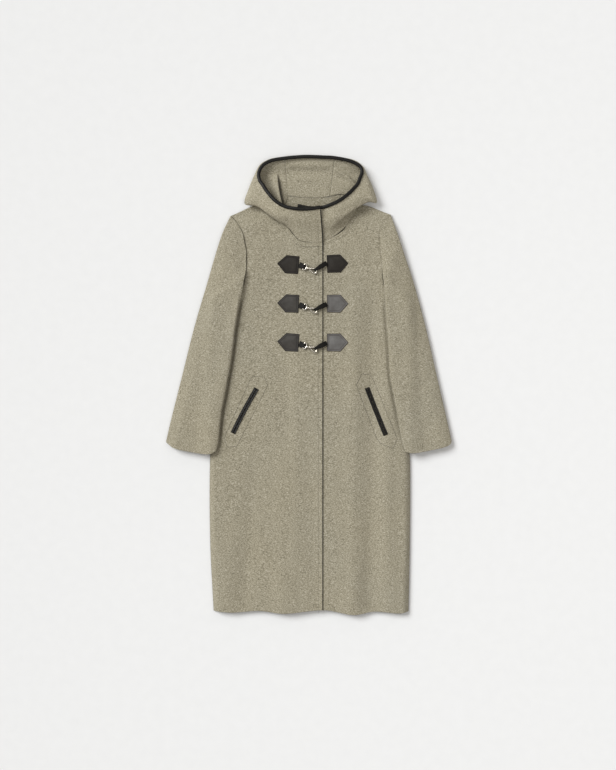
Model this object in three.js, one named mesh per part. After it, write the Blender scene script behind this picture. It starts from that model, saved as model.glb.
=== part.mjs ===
import * as THREE from 'three';

// A wool duffle coat that lies on its back, closed and flat, with its hood spread open above the neck.
// Millimetres. +X is the wearer's left, +Y runs from the hem to the hood, +Z is up from the surface.
// "right" and "left" in names are the wearer's: the right front lies on top at smaller X.

// Cloth, leather and metal sizes
const CLOTH = 3;
const SEAM_GAP = 0.3;
const LYING_GAP = 0.6;
const LEATHER = 2.2;

// The closed body: how high the front lies over the back
const CHEST_HEIGHT = 17;
const EDGE_HEIGHT = CLOTH + SEAM_GAP + CLOTH + 0.1;
const SIDE_CURL = 16;
const SHOULDER_CURL = 42;
const LAP_RISE = CLOTH + LYING_GAP;
const LAP_EDGE_X = 37.8;
const UNDERLAP_EDGE_X = -29;
const LAP_FOOT_X = -66;
const LAP_CREST_X = -32;
const HEM_INSET = 4;

// The side seam closes below the underarm, between these heights
const UNDERARM = { low: 225, high: 268 };

// Where a sleeve steps up onto the back's edge, in distance outside it
const BACK_STEP = { foot: 44, crest: 22 };

// Sleeves as flattened tubes
const SLEEVE_HEIGHT = 23;
const SLEEVE_HEIGHT_ON_FRONT = 13;
const SLEEVE_SQUARENESS = 2 / 2.7;
const SLEEVE_FLAT = 1.25;
const SLEEVE_CLIMB = 28;

// Binding round the face opening
const BINDING_HALF_WIDTH = 4.9;
const BINDING_HALF_HEIGHT = 3.7;
const BINDING_TILT = -6;
const FACE_MIDDLE = new THREE.Vector3(5, 560, 46);

// A hood section's crest, as shares of the way from the ring to the fold, along it and down
const CREST = { along: 0.66, down: 0.3 };
const HOOD_SETTLE = 22;

// Side edge of each front, from the hem up the side seam and the armhole to the shoulder tip
const FRONT_EDGE = {
  right: [
    { y: -620, x: -262 }, { y: -425, x: -271.5 }, { y: -190, x: -271.5 }, { y: 60, x: -258 },
    { y: 200, x: -251 }, { y: 225, x: -244 }, { y: 245, x: -222 }, { y: 262, x: -192 },
    { y: 277, x: -178.4 }, { y: 320, x: -171 }, { y: 360, x: -169.8 }, { y: 412, x: -177.5 },
    { y: 448, x: -196 }, { y: 466, x: -213 },
  ],
  left: [
    { y: -621, x: 275 }, { y: -425, x: 278.5 }, { y: -190, x: 278.5 }, { y: 60, x: 266 },
    { y: 200, x: 261 }, { y: 225, x: 255 }, { y: 245, x: 238 }, { y: 262, x: 216 },
    { y: 277, x: 205 }, { y: 320, x: 200 }, { y: 387, x: 195 }, { y: 422, x: 192 },
    { y: 452, x: 206 }, { y: 470, x: 223 },
  ],
};

// Side edge of the back, which passes under the sleeve from the underarm to the shoulder tip
const BACK_EDGE = {
  right: [
    { y: -616, x: -261 }, { y: -425, x: -270.5 }, { y: -190, x: -270.5 }, { y: 60, x: -257 },
    { y: 210, x: -249 }, { y: 300, x: -236 }, { y: 400, x: -224 }, { y: 466, x: -213 },
  ],
  left: [
    { y: -616, x: 274 }, { y: -425, x: 277.5 }, { y: -190, x: 277.5 }, { y: 60, x: 265 },
    { y: 210, x: 259 }, { y: 300, x: 246 }, { y: 400, x: 234 }, { y: 470, x: 223 },
  ],
};

// Line where a sleeve has climbed onto the front; above the underarm it lies inside the armhole
const CLIMB_LINE = {
  right: [
    { y: -620, x: -277 }, { y: 60, x: -264 }, { y: 200, x: -258 }, { y: 228, x: -256 },
    { y: 252, x: -244 }, { y: 284, x: -194 }, { y: 300, x: -188 }, { y: 326, x: -138 }, { y: 480, x: -135 },
  ],
  left: [
    { y: -620, x: 285 }, { y: 60, x: 272 }, { y: 200, x: 268 }, { y: 228, x: 266 },
    { y: 252, x: 256 }, { y: 284, x: 221 }, { y: 300, x: 214 }, { y: 326, x: 168 }, { y: 480, x: 160 },
  ],
};

// Hem line across the coat, with its lifted folds
const HEM = [
  { x: -262, y: -619 }, { x: -210, y: -623.5 }, { x: -135, y: -619 }, { x: -69, y: -629 },
  { x: 42, y: -617 }, { x: 124, y: -630 }, { x: 182, y: -621 }, { x: 250, y: -626 }, { x: 275, y: -621 },
];

// Neck seam of each front from its front edge to the shoulder seam
const FRONT_NECK = {
  right: [
    { x: 37.8, y: 392.6 }, { x: -20.8, y: 394.5 }, { x: -40, y: 411 }, { x: -56, y: 432 },
    { x: -70, y: 450 }, { x: -96.5, y: 478 }, { x: -122, y: 500 },
  ],
  left: [
    { x: -29, y: 399.5 }, { x: 4, y: 395.5 }, { x: 34, y: 397.5 }, { x: 63.4, y: 406 }, { x: 91.4, y: 423 },
    { x: 103, y: 438 }, { x: 120, y: 468 }, { x: 141, y: 494.5 },
  ],
};

// Back neck seam between the two shoulder seams
const BACK_NECK = [
  { x: -122, y: 500 }, { x: -107, y: 516 }, { x: -76, y: 524 }, { x: -40, y: 520 }, { x: 8, y: 515 },
  { x: 52, y: 519 }, { x: 92, y: 526 }, { x: 125, y: 512 }, { x: 141, y: 494.5 },
];

// Large folds of the front: a line from a to b, its half-width, and its height (below 0 for a trough)
const FOLDS = [
  { ax: 178, ay: 290, bx: 172, by: -600, width: 24, height: -4.5 },
  { ax: 122, ay: 290, bx: 118, by: -600, width: 25, height: 4 },
  { ax: 214, ay: 60, bx: 218, by: -600, width: 22, height: 3.2 },
  { ax: -4, ay: -90, bx: 20, by: -590, width: 20, height: -2.5 },
  { ax: -70, ay: -150, bx: -66, by: -620, width: 28, height: 3.4 },
  { ax: -144, ay: -190, bx: -174, by: -580, width: 24, height: -3.6 },
  { ax: -228, ay: -430, bx: -226, by: -640, width: 26, height: 3.4 },
  { ax: -70, ay: -480, bx: -69, by: -650, width: 26, height: 3 },
  { ax: 124, ay: -450, bx: 124, by: -650, width: 26, height: 3 },
  { ax: 246, ay: -460, bx: 250, by: -650, width: 18, height: 2 },
  { ax: -96, ay: 386, bx: -50, by: 392, width: 14, height: 2 },
  { ax: 120, ay: 395, bx: 60, by: 330, width: 22, height: 2 },
];

// Outline of each sleeve: inner edge from the underarm and outer edge from the shoulder tip, both to the cuff
const SLEEVES = {
  right: {
    armhole: [[-182, 262], [-179.6, 280], [-172.3, 320], [-171, 360], [-178.8, 412], [-197.4, 448],
      [-215, 467]],
    inner: [[-182, 262], [-198.7, 176], [-212.7, 71], [-228.7, -17], [-240, -77], [-249, -160],
      [-254, -179]],
    outer: [[-215, 467], [-236, 422.8], [-257.8, 356.8], [-277, 290.8], [-315.6, 158.8],
      [-348.6, 26.8], [-381.6, -105], [-393, -155]],
    cuff: [[-254, -179], [-272, -187.5], [-335, -180], [-372, -171], [-393, -155]],
  },
  left: {
    armhole: [[207.5, 262], [206, 280], [201.4, 320], [196.4, 387], [193.4, 422], [207.4, 452],
      [225, 471]],
    inner: [[207.5, 262], [212, 190], [218, 120], [223, 30], [232, -20], [243, -80], [258, -162],
      [265, -181]],
    outer: [[225, 471], [243, 422.8], [264.7, 356.8], [286.7, 290.8], [322.4, 158.8],
      [352.7, 26.8], [383, -105], [393.5, -152]],
    cuff: [[265, -181], [284, -186.5], [314, -181], [368, -170], [393.5, -152]],
  },
};

// Hood sections from the front edge round the side to the centre strip. Each row is one section from the
// face opening over the fold to the neck seam; a point without z lies on what is under it.
const HOOD = {
  right: [
    { ring: [31, 487, 55.8], fold: [33.5, 455, 47], tuck: [36.5, 420, 31], neck: [37.8, 393.2, 20.8] },
    { ring: [2, 482.5, 58], fold: [2, 450, 47], tuck: [1, 420, 31], neck: [0, 394.6, 20.6] },
    { ring: [-32, 485.5, 58], fold: [-34, 450, 45], tuck: [-32, 424, 30], neck: [-29, 403, 20.6] },
    { ring: [-63, 497, 54], fold: [-73, 436, 33], tuck: [-70, 441], neck: [-62, 442.5] },
    { ring: [-91, 513, 50.4], fold: [-105, 468, 31], tuck: [-101, 473], neck: [-92, 475.5] },
    { ring: [-116, 541, 42.6], fold: [-140, 494, 25], tuck: [-134, 500], neck: [-117, 499] },
    { ring: [-124, 553, 39], fold: [-179, 502, 16], tuck: [-166, 510], neck: [-119.5, 507] },
    { ring: [-133, 566.4, 34], fold: [-165, 541, 15], tuck: [-151, 540], neck: [-111, 517] },
    { ring: [-137, 583, 29], fold: [-149, 579, 15], tuck: [-136, 572], neck: [-98, 521.5] },
    { ring: [-127.5, 603, 25.5], fold: [-134.5, 607, 12.5], tuck: [-124, 596, 2], neck: [-86, 524] },
    { ring: [-105, 617, 23], fold: [-107, 623.5, 10.5], tuck: [-101, 609, 3], neck: [-73, 524.6] },
    { ring: [-67, 624.4, 21.5], fold: [-67.5, 630.5, 9], tuck: [-65.5, 615, 3.5], neck: [-57.5, 523.4] },
  ],
  left: [
    { ring: [-29, 491.6, 46], fold: [-29, 455, 35], tuck: [-29, 422, 20.5], neck: [-29, 400.6, 15.8] },
    { ring: [5, 485.5, 47.5], fold: [5, 452, 38.5], tuck: [5, 420, 24.5], neck: [5, 396.6, 16.8] },
    { ring: [37, 487, 48.5], fold: [37, 450, 40], tuck: [37, 425, 26], neck: [37, 399.6, 17] },
    { ring: [58, 493.5, 51.5], fold: [68, 440, 36], tuck: [66, 430, 27], neck: [63.6, 407.6, 17] },
    { ring: [86, 507.5, 49.5], fold: [97, 462, 38], tuck: [92, 462, 25], neck: [99.6, 436, 17] },
    { ring: [114, 530, 44.5], fold: [127, 486, 33.5], tuck: [121, 489, 21], neck: [119, 468.7, 16] },
    { ring: [124.4, 541.6, 41], fold: [161, 506, 24], tuck: [152, 510], neck: [136, 493] },
    { ring: [133, 551.4, 39], fold: [190, 505, 16], tuck: [177, 512], neck: [139, 499.5] },
    { ring: [141, 570, 33.5], fold: [178, 540, 15], tuck: [164, 540], neck: [128, 513] },
    { ring: [146, 586, 29], fold: [160, 580, 15], tuck: [147, 573], neck: [114, 520] },
    { ring: [142, 600, 26], fold: [148, 604, 12.5], tuck: [136, 595, 2], neck: [102, 525] },
    { ring: [119.5, 614.5, 23.5], fold: [122.5, 621.5, 10.5], tuck: [114, 607, 3], neck: [86, 526.6] },
    { ring: [72, 625.6, 21.5], fold: [72.5, 631, 9], tuck: [70, 615, 3.5], neck: [58.5, 521.4] },
  ],
  centre: [
    { ring: [-66.6, 624.4, 21.5], fold: [-67.1, 630.5, 9], tuck: [-65.1, 615, 3.5], neck: [-57.1, 523.3] },
    { ring: [-21, 628.8, 20.5], fold: [-21, 633.5, 7], tuck: [-20, 618, 3.5], neck: [-18, 518.2] },
    { ring: [35, 628, 20.5], fold: [35, 633.3, 7], tuck: [34, 618, 3.5], neck: [30, 517.4] },
    { ring: [71.6, 625.6, 21.5], fold: [72.1, 631, 9], tuck: [69.6, 615, 3.5], neck: [58.1, 521.3] },
  ],
};

// Fastening rows down the front: height of the pair of pointed tabs
const FASTENINGS = [
  { y: 337.4, drop: 5.5, slant: -0.375, strapRise: -0.5 },
  { y: 225.6, drop: 3.5, slant: -0.35, strapRise: -1.5 },
  { y: 118.8, drop: 3.5, slant: -0.35, strapRise: -1.5 },
];

// Snap hooks and their leather loops, measured along the clasp from the edge of the right tab
const CLASP_LIFT = 5.9;
const EYE_BAR = 14.5;
const EYE = [[14.5, -7], [14.5, -3], [14.5, 3], [14.5, 7], [16, 8.7], [19, 7.2], [22, 2.4], [22, -2.4],
  [19, -7.2], [16, -8.7]];
const EYE_WIRE = 1.4;
const SWIVEL = { start: 23.8, end: 28.2, radius: 3.1, collar: 3.9 };
const HOOK = [
  { along: 30.2, across: 0.4, radius: 3.4 }, { along: 32, across: 1.4, radius: 3.7 },
  { along: 36, across: 3.6, radius: 2.8 }, { along: 40.5, across: 5, radius: 2.1 },
  { along: 45, across: 4.9, radius: 1.8 }, { along: 49.3, across: 2.7, radius: 1.8 },
  { along: 51.6, across: -1, radius: 1.9 }, { along: 50.6, across: -4.9, radius: 2 },
  { along: 47, across: -6.7, radius: 2 }, { along: 43.4, across: -6.3, radius: 1.9 },
];
const HOOK_HALF_THICKNESS = 2.6;
const GATE = { from: [42.2, -5.9], to: [35.6, -2.6], radius: 1.2 };
const STRAP_EYE = [47.3, 3.9];
const LOOP_THICKNESS = 1.8;
const KEEPER = { rootHalfWidth: 7, eyeHalfWidth: 4.3, loopRadius: 3 };
const STRAP = { rootHalfWidth: 6.4, eyeHalfWidth: 3.1, loopRadius: 4.7 };
const KEEPER_ROOT = 3;
const STRAP_ROOT = 3.8;
const STRAP_RISE = 2.5;
const FOLD_SPREAD = 1.2;
const LOOP_LIFT = LYING_GAP + FOLD_SPREAD + LOOP_THICKNESS / 2 + SEAM_GAP;
const TAB_TIP = 2.5;
const TAB_SPREAD = 0.6;
const TAB = {
  right: { base: -27.4, shoulder: -63, tip: -86, halfHeight: 24.4 },
  left: { base: 50, shoulder: 87, tip: 108, halfHeight: 24.2 },
};

// Pocket mouths: centre line of each pair of leather lips
const POCKETS = {
  right: { top: [-143, -7.3], bottom: [-208.3, -130.5] },
  left: { top: [160.2, -5.4], bottom: [211.6, -135.7] },
};
const LIP_WIDTH = 5.4;
const LIP_RISE = 3;

const mix = THREE.MathUtils.lerp;
const smooth = THREE.MathUtils.smoothstep;
const clamp = THREE.MathUtils.clamp;

// Value of one column of a table at a place on another, by a cubic between neighbouring rows
function tableAt(table, key, column, place) {
  let i = 0;
  while (i < table.length - 2 && place > table[i + 1][key]) i += 1;
  const slope = (j) => {
    const before = table[Math.max(j - 1, 0)];
    const after = table[Math.min(j + 1, table.length - 1)];
    return (after[column] - before[column]) / (after[key] - before[key]);
  };
  const span = table[i + 1][key] - table[i][key];
  const t = clamp((place - table[i][key]) / span, 0, 1);
  const rise = t * t * (3 - 2 * t);
  const start = span * slope(i) * t * (1 - t) * (1 - t);
  const end = span * slope(i + 1) * t * t * (1 - t);
  return mix(table[i][column], table[i + 1][column], rise) + start - end;
}

// Smooth plane curve through points, as a function of 0 to 1 along its length
function curveThrough(points) {
  const curve = new THREE.CatmullRomCurve3(points.map(([x, y]) => new THREE.Vector3(x, y, 0)), false,
    'centripetal');
  curve.arcLengthDivisions = 400;
  return (t) => curve.getPointAt(clamp(t, 0, 1));
}

// Four-sided patch between its edges: bottom and top run with u, start and end run with v
function patch({ bottom, top, start, end }) {
  const corner = [bottom(0), bottom(1), top(0), top(1)];
  return (u, v) => {
    const point = new THREE.Vector3();
    point.addScaledVector(bottom(u), 1 - v).addScaledVector(top(u), v);
    point.addScaledVector(start(v), 1 - u).addScaledVector(end(v), u);
    point.addScaledVector(corner[0], -(1 - u) * (1 - v)).addScaledVector(corner[1], -u * (1 - v));
    point.addScaledVector(corner[2], -(1 - u) * v).addScaledVector(corner[3], -u * v);
    return point;
  };
}

// Steps from 0 to 1, closer together near the ends that are named by a power above 1
function steps(count, nearStart = 1, nearEnd = 1) {
  return Array.from({ length: count + 1 }, (_, i) => {
    const t = i / count;
    return mix(t ** nearStart, 1 - (1 - t) ** nearEnd, t);
  });
}

// Closed mesh of two facing grids of points: an outer and an inner skin joined along the free edges.
// The rows of a tube close on themselves; a plate's rows have two free ends.
function shell(outer, inner, tube = false) {
  const rows = outer.length;
  const columns = outer[0].length;
  const points = [...outer.flat(), ...inner.flat()];
  const at = (skin, row, column) => (skin * rows + row) * columns + (column % columns);
  const faces = [];
  const quad = (a, b, c, d) => faces.push(a, b, c, a, c, d);
  const lastColumn = tube ? columns : columns - 1;
  for (let i = 0; i < rows - 1; i += 1) {
    for (let j = 0; j < lastColumn; j += 1) {
      quad(at(0, i, j), at(0, i, j + 1), at(0, i + 1, j + 1), at(0, i + 1, j));
      quad(at(1, i, j), at(1, i + 1, j), at(1, i + 1, j + 1), at(1, i, j + 1));
    }
  }
  for (let j = 0; j < lastColumn; j += 1) {
    quad(at(0, 0, j), at(1, 0, j), at(1, 0, j + 1), at(0, 0, j + 1));
    quad(at(0, rows - 1, j), at(0, rows - 1, j + 1), at(1, rows - 1, j + 1), at(1, rows - 1, j));
  }
  if (!tube) {
    for (let i = 0; i < rows - 1; i += 1) {
      quad(at(0, i, 0), at(0, i + 1, 0), at(1, i + 1, 0), at(1, i, 0));
      const j = columns - 1;
      quad(at(0, i, j), at(1, i, j), at(1, i + 1, j), at(0, i + 1, j));
    }
  }
  return facedOut(points, faces);
}

// Geometry from points and triangles, turned so that its faces point out
function facedOut(points, faces) {
  let volume = 0;
  for (let i = 0; i < faces.length; i += 3) {
    const [a, b, c] = faces.slice(i, i + 3).map((k) => points[k]);
    volume += a.dot(b.clone().cross(c));
  }
  const index = volume < 0 ? faces.slice().reverse() : faces;
  const geometry = new THREE.BufferGeometry();
  geometry.setAttribute('position', new THREE.Float32BufferAttribute(points.flatMap((p) => p.toArray()), 3));
  geometry.setIndex(index);
  geometry.computeVertexNormals();
  return geometry;
}

// Solid bar of a round or flat section carried along a path; the section lies across the path
function bar({ path, across, halfWidth, halfHeight, sides, closed = false }) {
  const count = path.length;
  const points = [];
  const faces = [];
  const widthAt = typeof halfWidth === 'function' ? halfWidth : () => halfWidth;
  const heightAt = typeof halfHeight === 'function' ? halfHeight : () => halfHeight;
  path.forEach((centre, i) => {
    const before = path[closed ? (i + count - 1) % count : Math.max(i - 1, 0)];
    const after = path[closed ? (i + 1) % count : Math.min(i + 1, count - 1)];
    const forward = after.clone().sub(before).normalize();
    const sideways = across(i).clone();
    sideways.addScaledVector(forward, -sideways.dot(forward)).normalize();
    const upward = forward.clone().cross(sideways);
    for (let k = 0; k < sides; k += 1) {
      const angle = (2 * Math.PI * (k + 0.5)) / sides;
      const point = centre.clone().addScaledVector(sideways, widthAt(i) * Math.cos(angle));
      points.push(point.addScaledVector(upward, heightAt(i) * Math.sin(angle)));
    }
  });
  const at = (i, k) => (i % count) * sides + (k % sides);
  const last = closed ? count : count - 1;
  for (let i = 0; i < last; i += 1) {
    for (let k = 0; k < sides; k += 1) {
      faces.push(at(i, k), at(i, k + 1), at(i + 1, k + 1), at(i, k), at(i + 1, k + 1), at(i + 1, k));
    }
  }
  if (!closed) {
    for (let k = 1; k < sides - 1; k += 1) {
      faces.push(at(0, 0), at(0, k + 1), at(0, k));
      faces.push(at(count - 1, 0), at(count - 1, k), at(count - 1, k + 1));
    }
  }
  return facedOut(points, faces);
}

const wool = new THREE.MeshStandardMaterial({ color: 0xa5a08d, roughness: 0.95, metalness: 0 });
const leather = new THREE.MeshStandardMaterial({ color: 0x2b2320, roughness: 0.5, metalness: 0 });
const nickel = new THREE.MeshStandardMaterial({ color: 0xb9b3a8, roughness: 0.28, metalness: 1 });

const coat = new THREE.Group();

function add(name, geometry, material) {
  const mesh = new THREE.Mesh(geometry, material.clone());
  mesh.name = name;
  coat.add(mesh);
}

// Height of one fold line at a place: a soft ridge or trough that fades at its ends
function foldAt(fold, x, y) {
  const dx = fold.bx - fold.ax;
  const dy = fold.by - fold.ay;
  const length = Math.hypot(dx, dy);
  const along = ((x - fold.ax) * dx + (y - fold.ay) * dy) / length;
  const off = ((x - fold.ax) * dy - (y - fold.ay) * dx) / length;
  const ends = smooth(along, -40, 90) * (1 - smooth(along, length - 10, length + 60));
  return fold.height * ends * Math.exp(-((off / fold.width) ** 2));
}

// Height of the top of the lying front, away from its edges
function chestHeight(x, y) {
  const folds = FOLDS.reduce((sum, fold) => sum + foldAt(fold, x, y), 0);
  return CHEST_HEIGHT + folds;
}

// Distance from the shoulder seam of one side
function fromShoulder(side, x, y) {
  const tip = FRONT_EDGE[side].at(-1);
  const neck = FRONT_NECK[side].at(-1);
  const dx = neck.x - tip.x;
  const dy = neck.y - tip.y;
  const t = clamp(((x - tip.x) * dx + (y - tip.y) * dy) / (dx * dx + dy * dy), 0, 1);
  return Math.hypot(x - tip.x - t * dx, y - tip.y - t * dy);
}

// Distance below the shoulder line and neck seam of one side, positive on the front
function belowNeck(side, x, y) {
  const tip = FRONT_EDGE[side].at(-1);
  const neck = FRONT_NECK[side].at(-1);
  const t = (x - tip.x) / (neck.x - tip.x);
  const seam = side === 'right' ? FRONT_NECK.right.slice().reverse() : FRONT_NECK.left;
  const line = t < 1 ? mix(tip.y, neck.y, t) : tableAt(seam, 'x', 'y', x);
  return line - y;
}

// Distance inwards from the side seam of one side, positive on the body
function insideEdge(table, side, x, y) {
  const edge = tableAt(table[side], 'y', 'x', y);
  return side === 'right' ? x - edge : edge - x;
}

// Height of the top of a front: full on the chest, curled down to the back at the side and shoulder
function frontTop(side, x, y) {
  const curl = Math.sin((Math.PI / 2) * clamp(insideEdge(FRONT_EDGE, side, x, y) / SIDE_CURL, 0, 1));
  const closed = 1 - smooth(y, UNDERARM.low, UNDERARM.high);
  const sideShare = mix(1, curl, closed);
  const shoulderShare = smooth(fromShoulder(side, x, y), 0, SHOULDER_CURL);
  const lap = side === 'right' ? LAP_RISE * smooth(x, LAP_FOOT_X, LAP_CREST_X) : 0;
  return EDGE_HEIGHT + (chestHeight(x, y) - EDGE_HEIGHT) * sideShare * shoulderShare + lap;
}

// Height on which a sleeve lies: the surface outside, the back's edge, then the front's top
function underSleeve(side, x, y) {
  const onBack = smooth(insideEdge(BACK_EDGE, side, x, y), -BACK_STEP.foot, -BACK_STEP.crest);
  const back = CLOTH + SEAM_GAP;
  return onBack * back + climbAt(side, x, y) * (chestHeight(x, y) + LYING_GAP - back);
}

// How far a sleeve has climbed onto the front, from 0 beside it to 1 on it
function climbAt(side, x, y) {
  return smooth(insideEdge(CLIMB_LINE, side, x, y), -SLEEVE_CLIMB, 0);
}

// Height on which the hood's lower layer lies: the surface above the shoulders, else the front's top
function underHood(side, x, y) {
  const below = belowNeck(side, x, y);
  if (below > 0) return frontTop(side, x, y) + LYING_GAP;
  return (frontTop(side, x, y + below) + LYING_GAP) * smooth(below, -HOOD_SETTLE, 0);
}

// The front of one side, in a patch between hem, side edge, shoulder and neck, and front edge
function frontPanel(side) {
  const edgeX = side === 'right' ? LAP_EDGE_X : UNDERLAP_EDGE_X;
  const sideTable = FRONT_EDGE[side];
  const tip = sideTable.at(-1);
  const neck = FRONT_NECK[side];
  const hemY = (x) => tableAt(HEM, 'x', 'y', x);
  const hemCorner = sideTable[0].x;
  const top = curveThrough([[tip.x, tip.y], ...neck.slice().reverse().map(({ x, y }) => [x, y])]);
  const outline = patch({
    bottom: (u) => new THREE.Vector3(mix(hemCorner, edgeX, u), hemY(mix(hemCorner, edgeX, u)), 0),
    top,
    start: (v) => {
      const y = mix(hemY(hemCorner), tip.y, v);
      return new THREE.Vector3(v === 0 ? hemCorner : tableAt(sideTable, 'y', 'x', y), y, 0);
    },
    end: (v) => new THREE.Vector3(edgeX, mix(hemY(edgeX), neck[0].y, v), 0),
  });
  const across = steps(15, 2.2, 1);
  const up = steps(25, 1, 1.8);
  const skin = (drop) => up.map((v) => across.map((u) => {
    const point = outline(u, v);
    return point.setZ(frontTop(side, point.x, point.y) - drop);
  }));
  return shell(skin(0), skin(CLOTH));
}

// The back: one flat panel from the hem to the shoulders and the back neck
function backPanel() {
  const right = BACK_EDGE.right;
  const left = BACK_EDGE.left;
  const hemY = (x) => tableAt(HEM, 'x', 'y', x) + HEM_INSET;
  const neck = BACK_NECK.map(({ x, y }) => [x, y]);
  const side = (table) => (v) => {
    const y = mix(hemY(table[0].x), table.at(-1).y, v);
    return new THREE.Vector3(v === 0 ? table[0].x : tableAt(table, 'y', 'x', y), y, 0);
  };
  const outline = patch({
    bottom: (u) => new THREE.Vector3(mix(right[0].x, left[0].x, u), hemY(mix(right[0].x, left[0].x, u)), 0),
    top: curveThrough([[right.at(-1).x, right.at(-1).y], ...neck, [left.at(-1).x, left.at(-1).y]]),
    start: side(right),
    end: side(left),
  });
  const skin = (height) => steps(10).map((v) => steps(18).map((u) => outline(u, v).setZ(height)));
  return shell(skin(CLOTH), skin(0));
}

// A sleeve: a flattened tube over a patch between armhole, cuff and its two folded edges
function sleeve(side) {
  const edges = SLEEVES[side];
  const outline = patch({
    bottom: curveThrough(edges.armhole),
    top: curveThrough(edges.cuff),
    start: curveThrough(edges.inner),
    end: curveThrough(edges.outer),
  });
  const around = 24;
  const point = (v, angle, wall) => {
    const reach = Math.sign(Math.cos(angle)) * Math.abs(Math.cos(angle)) ** SLEEVE_SQUARENESS;
    const lift = Math.sign(Math.sin(angle)) * Math.abs(Math.sin(angle)) ** SLEEVE_SQUARENESS;
    const width = outline(0, v).distanceTo(outline(1, v));
    const place = outline(0.5 + reach * (0.5 - wall / width), v);
    const base = underSleeve(side, place.x, place.y);
    const atSeam = Math.max(frontTop(side, place.x, place.y) - base, 2 * CLOTH + 2);
    const free = mix(SLEEVE_HEIGHT, SLEEVE_HEIGHT_ON_FRONT, climbAt(side, place.x, place.y));
    const height = mix(atSeam, free, smooth(v, 0, 0.16));
    const half = height / 2 - wall;
    const level = lift < 0 ? Math.max(lift * SLEEVE_FLAT, -1) : lift;
    return place.setZ(base + height / 2 + half * level);
  };
  const rings = (wall) => steps(17, 1.6, 1.2).map((v) => Array.from({ length: around }, (_, k) => (
    point(v, (2 * Math.PI * k) / around, wall))));
  return shell(rings(0), rings(CLOTH), true);
}

// One hood section at a place between rows: from the binding over the crest and fold to the neck
function hoodSection(side, rows, v) {
  const place = v * (rows.length - 1);
  const i = Math.min(Math.floor(place), rows.length - 2);
  const part = place - i;
  const restSide = side === 'centre' ? 'right' : side;
  const settle = ([x, y, z]) => new THREE.Vector3(x, y, z ?? underHood(restSide, x, y));
  const pick = (column) => {
    const near = [i - 1, i, i + 1, i + 2].map((k) => settle(rows[clamp(k, 0, rows.length - 1)][column]));
    const blend = (axis) => catmull(part, ...near.map((p) => p[axis]));
    return new THREE.Vector3(blend('x'), blend('y'), blend('z'));
  };
  const ring = pick('ring');
  const fold = pick('fold');
  const tuck = pick('tuck');
  const neck = pick('neck');
  const crest = ring.clone().lerp(fold, CREST.along);
  crest.z = mix(ring.z, fold.z, CREST.down);
  const away = crest.clone().sub(ring).normalize();
  const flat = Math.hypot(away.x, away.y) / BINDING_HALF_WIDTH;
  const steep = away.z / BINDING_HALF_HEIGHT;
  const start = ring.clone().addScaledVector(away, 1 / Math.hypot(flat, steep) + LYING_GAP);
  return new THREE.CatmullRomCurve3([start, crest, fold, tuck, neck], false, 'centripetal');
}

// Cubic through four values, between the second and third
function catmull(t, before, a, b, after) {
  const slopeA = (b - before) / 2;
  const slopeB = (after - a) / 2;
  const rise = t * t * (3 - 2 * t);
  return mix(a, b, rise) + slopeA * t * (1 - t) * (1 - t) - slopeB * t * t * (1 - t);
}

// A hood piece: its sections side by side, thickened inwards
function hoodPiece(side, spans) {
  const rows = HOOD[side];
  const restSide = side === 'centre' ? 'right' : side;
  const outer = steps(spans).map((v) => {
    const section = hoodSection(side, rows, v);
    return steps(12).map((u) => {
      const point = section.getPoint(u);
      const low = u > 0.55 ? Math.min(underHood(restSide, point.x, point.y), point.z + 6) : 0;
      return point.setZ(Math.max(point.z, low, 0));
    });
  });
  const turn = side === 'left' ? -1 : 1;
  const inner = outer.map((row, i) => row.map((point, j) => {
    const alongRow = row[Math.min(j + 1, row.length - 1)].clone().sub(row[Math.max(j - 1, 0)]);
    const acrossRows = outer[Math.min(i + 1, outer.length - 1)][j].clone().sub(outer[Math.max(i - 1, 0)][j]);
    const inwards = alongRow.cross(acrossRows).normalize().multiplyScalar(turn * CLOTH);
    const inside = point.clone().add(inwards);
    return point.z < CLOTH ? inside.setZ(Math.max(inside.z, point.z + 0.8 * CLOTH)) : inside;
  }));
  return shell(outer, inner);
}

// Binding of one side of the face opening, from the crown to the front edge
function binding(side) {
  const crown = new THREE.Vector3(side === 'right' ? 4.6 : 5.4, 629.3, 20.5);
  const rings = HOOD[side].map(({ ring }) => new THREE.Vector3(...ring));
  const half = HOOD.centre[side === 'right' ? 1 : 2].ring;
  const stations = [...rings, new THREE.Vector3(...half), crown];
  const path = new THREE.CatmullRomCurve3(stations, false, 'centripetal').getSpacedPoints(32);
  return bar({
    path,
    across: (i) => path[i].clone().sub(FACE_MIDDLE).setZ(BINDING_TILT),
    halfWidth: BINDING_HALF_WIDTH,
    halfHeight: BINDING_HALF_HEIGHT,
    sides: 8,
  });
}

// Height of the faceted top of a panel at a place
function facetHeight(geometry, x, y) {
  const position = geometry.getAttribute('position');
  const corners = geometry.getIndex().array;
  const [a, b, c] = [new THREE.Vector3(), new THREE.Vector3(), new THREE.Vector3()];
  let height = 0;
  for (let i = 0; i < corners.length; i += 3) {
    a.fromBufferAttribute(position, corners[i]);
    b.fromBufferAttribute(position, corners[i + 1]);
    c.fromBufferAttribute(position, corners[i + 2]);
    const area = (b.x - a.x) * (c.y - a.y) - (b.y - a.y) * (c.x - a.x);
    const shareB = ((x - a.x) * (c.y - a.y) - (y - a.y) * (c.x - a.x)) / area;
    const shareC = ((b.x - a.x) * (y - a.y) - (b.y - a.y) * (x - a.x)) / area;
    if (area > 0 && shareB >= 0 && shareC >= 0 && shareB + shareC <= 1) {
      height = Math.max(height, a.z + shareB * (b.z - a.z) + shareC * (c.z - a.z));
    }
  }
  return height;
}

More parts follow.
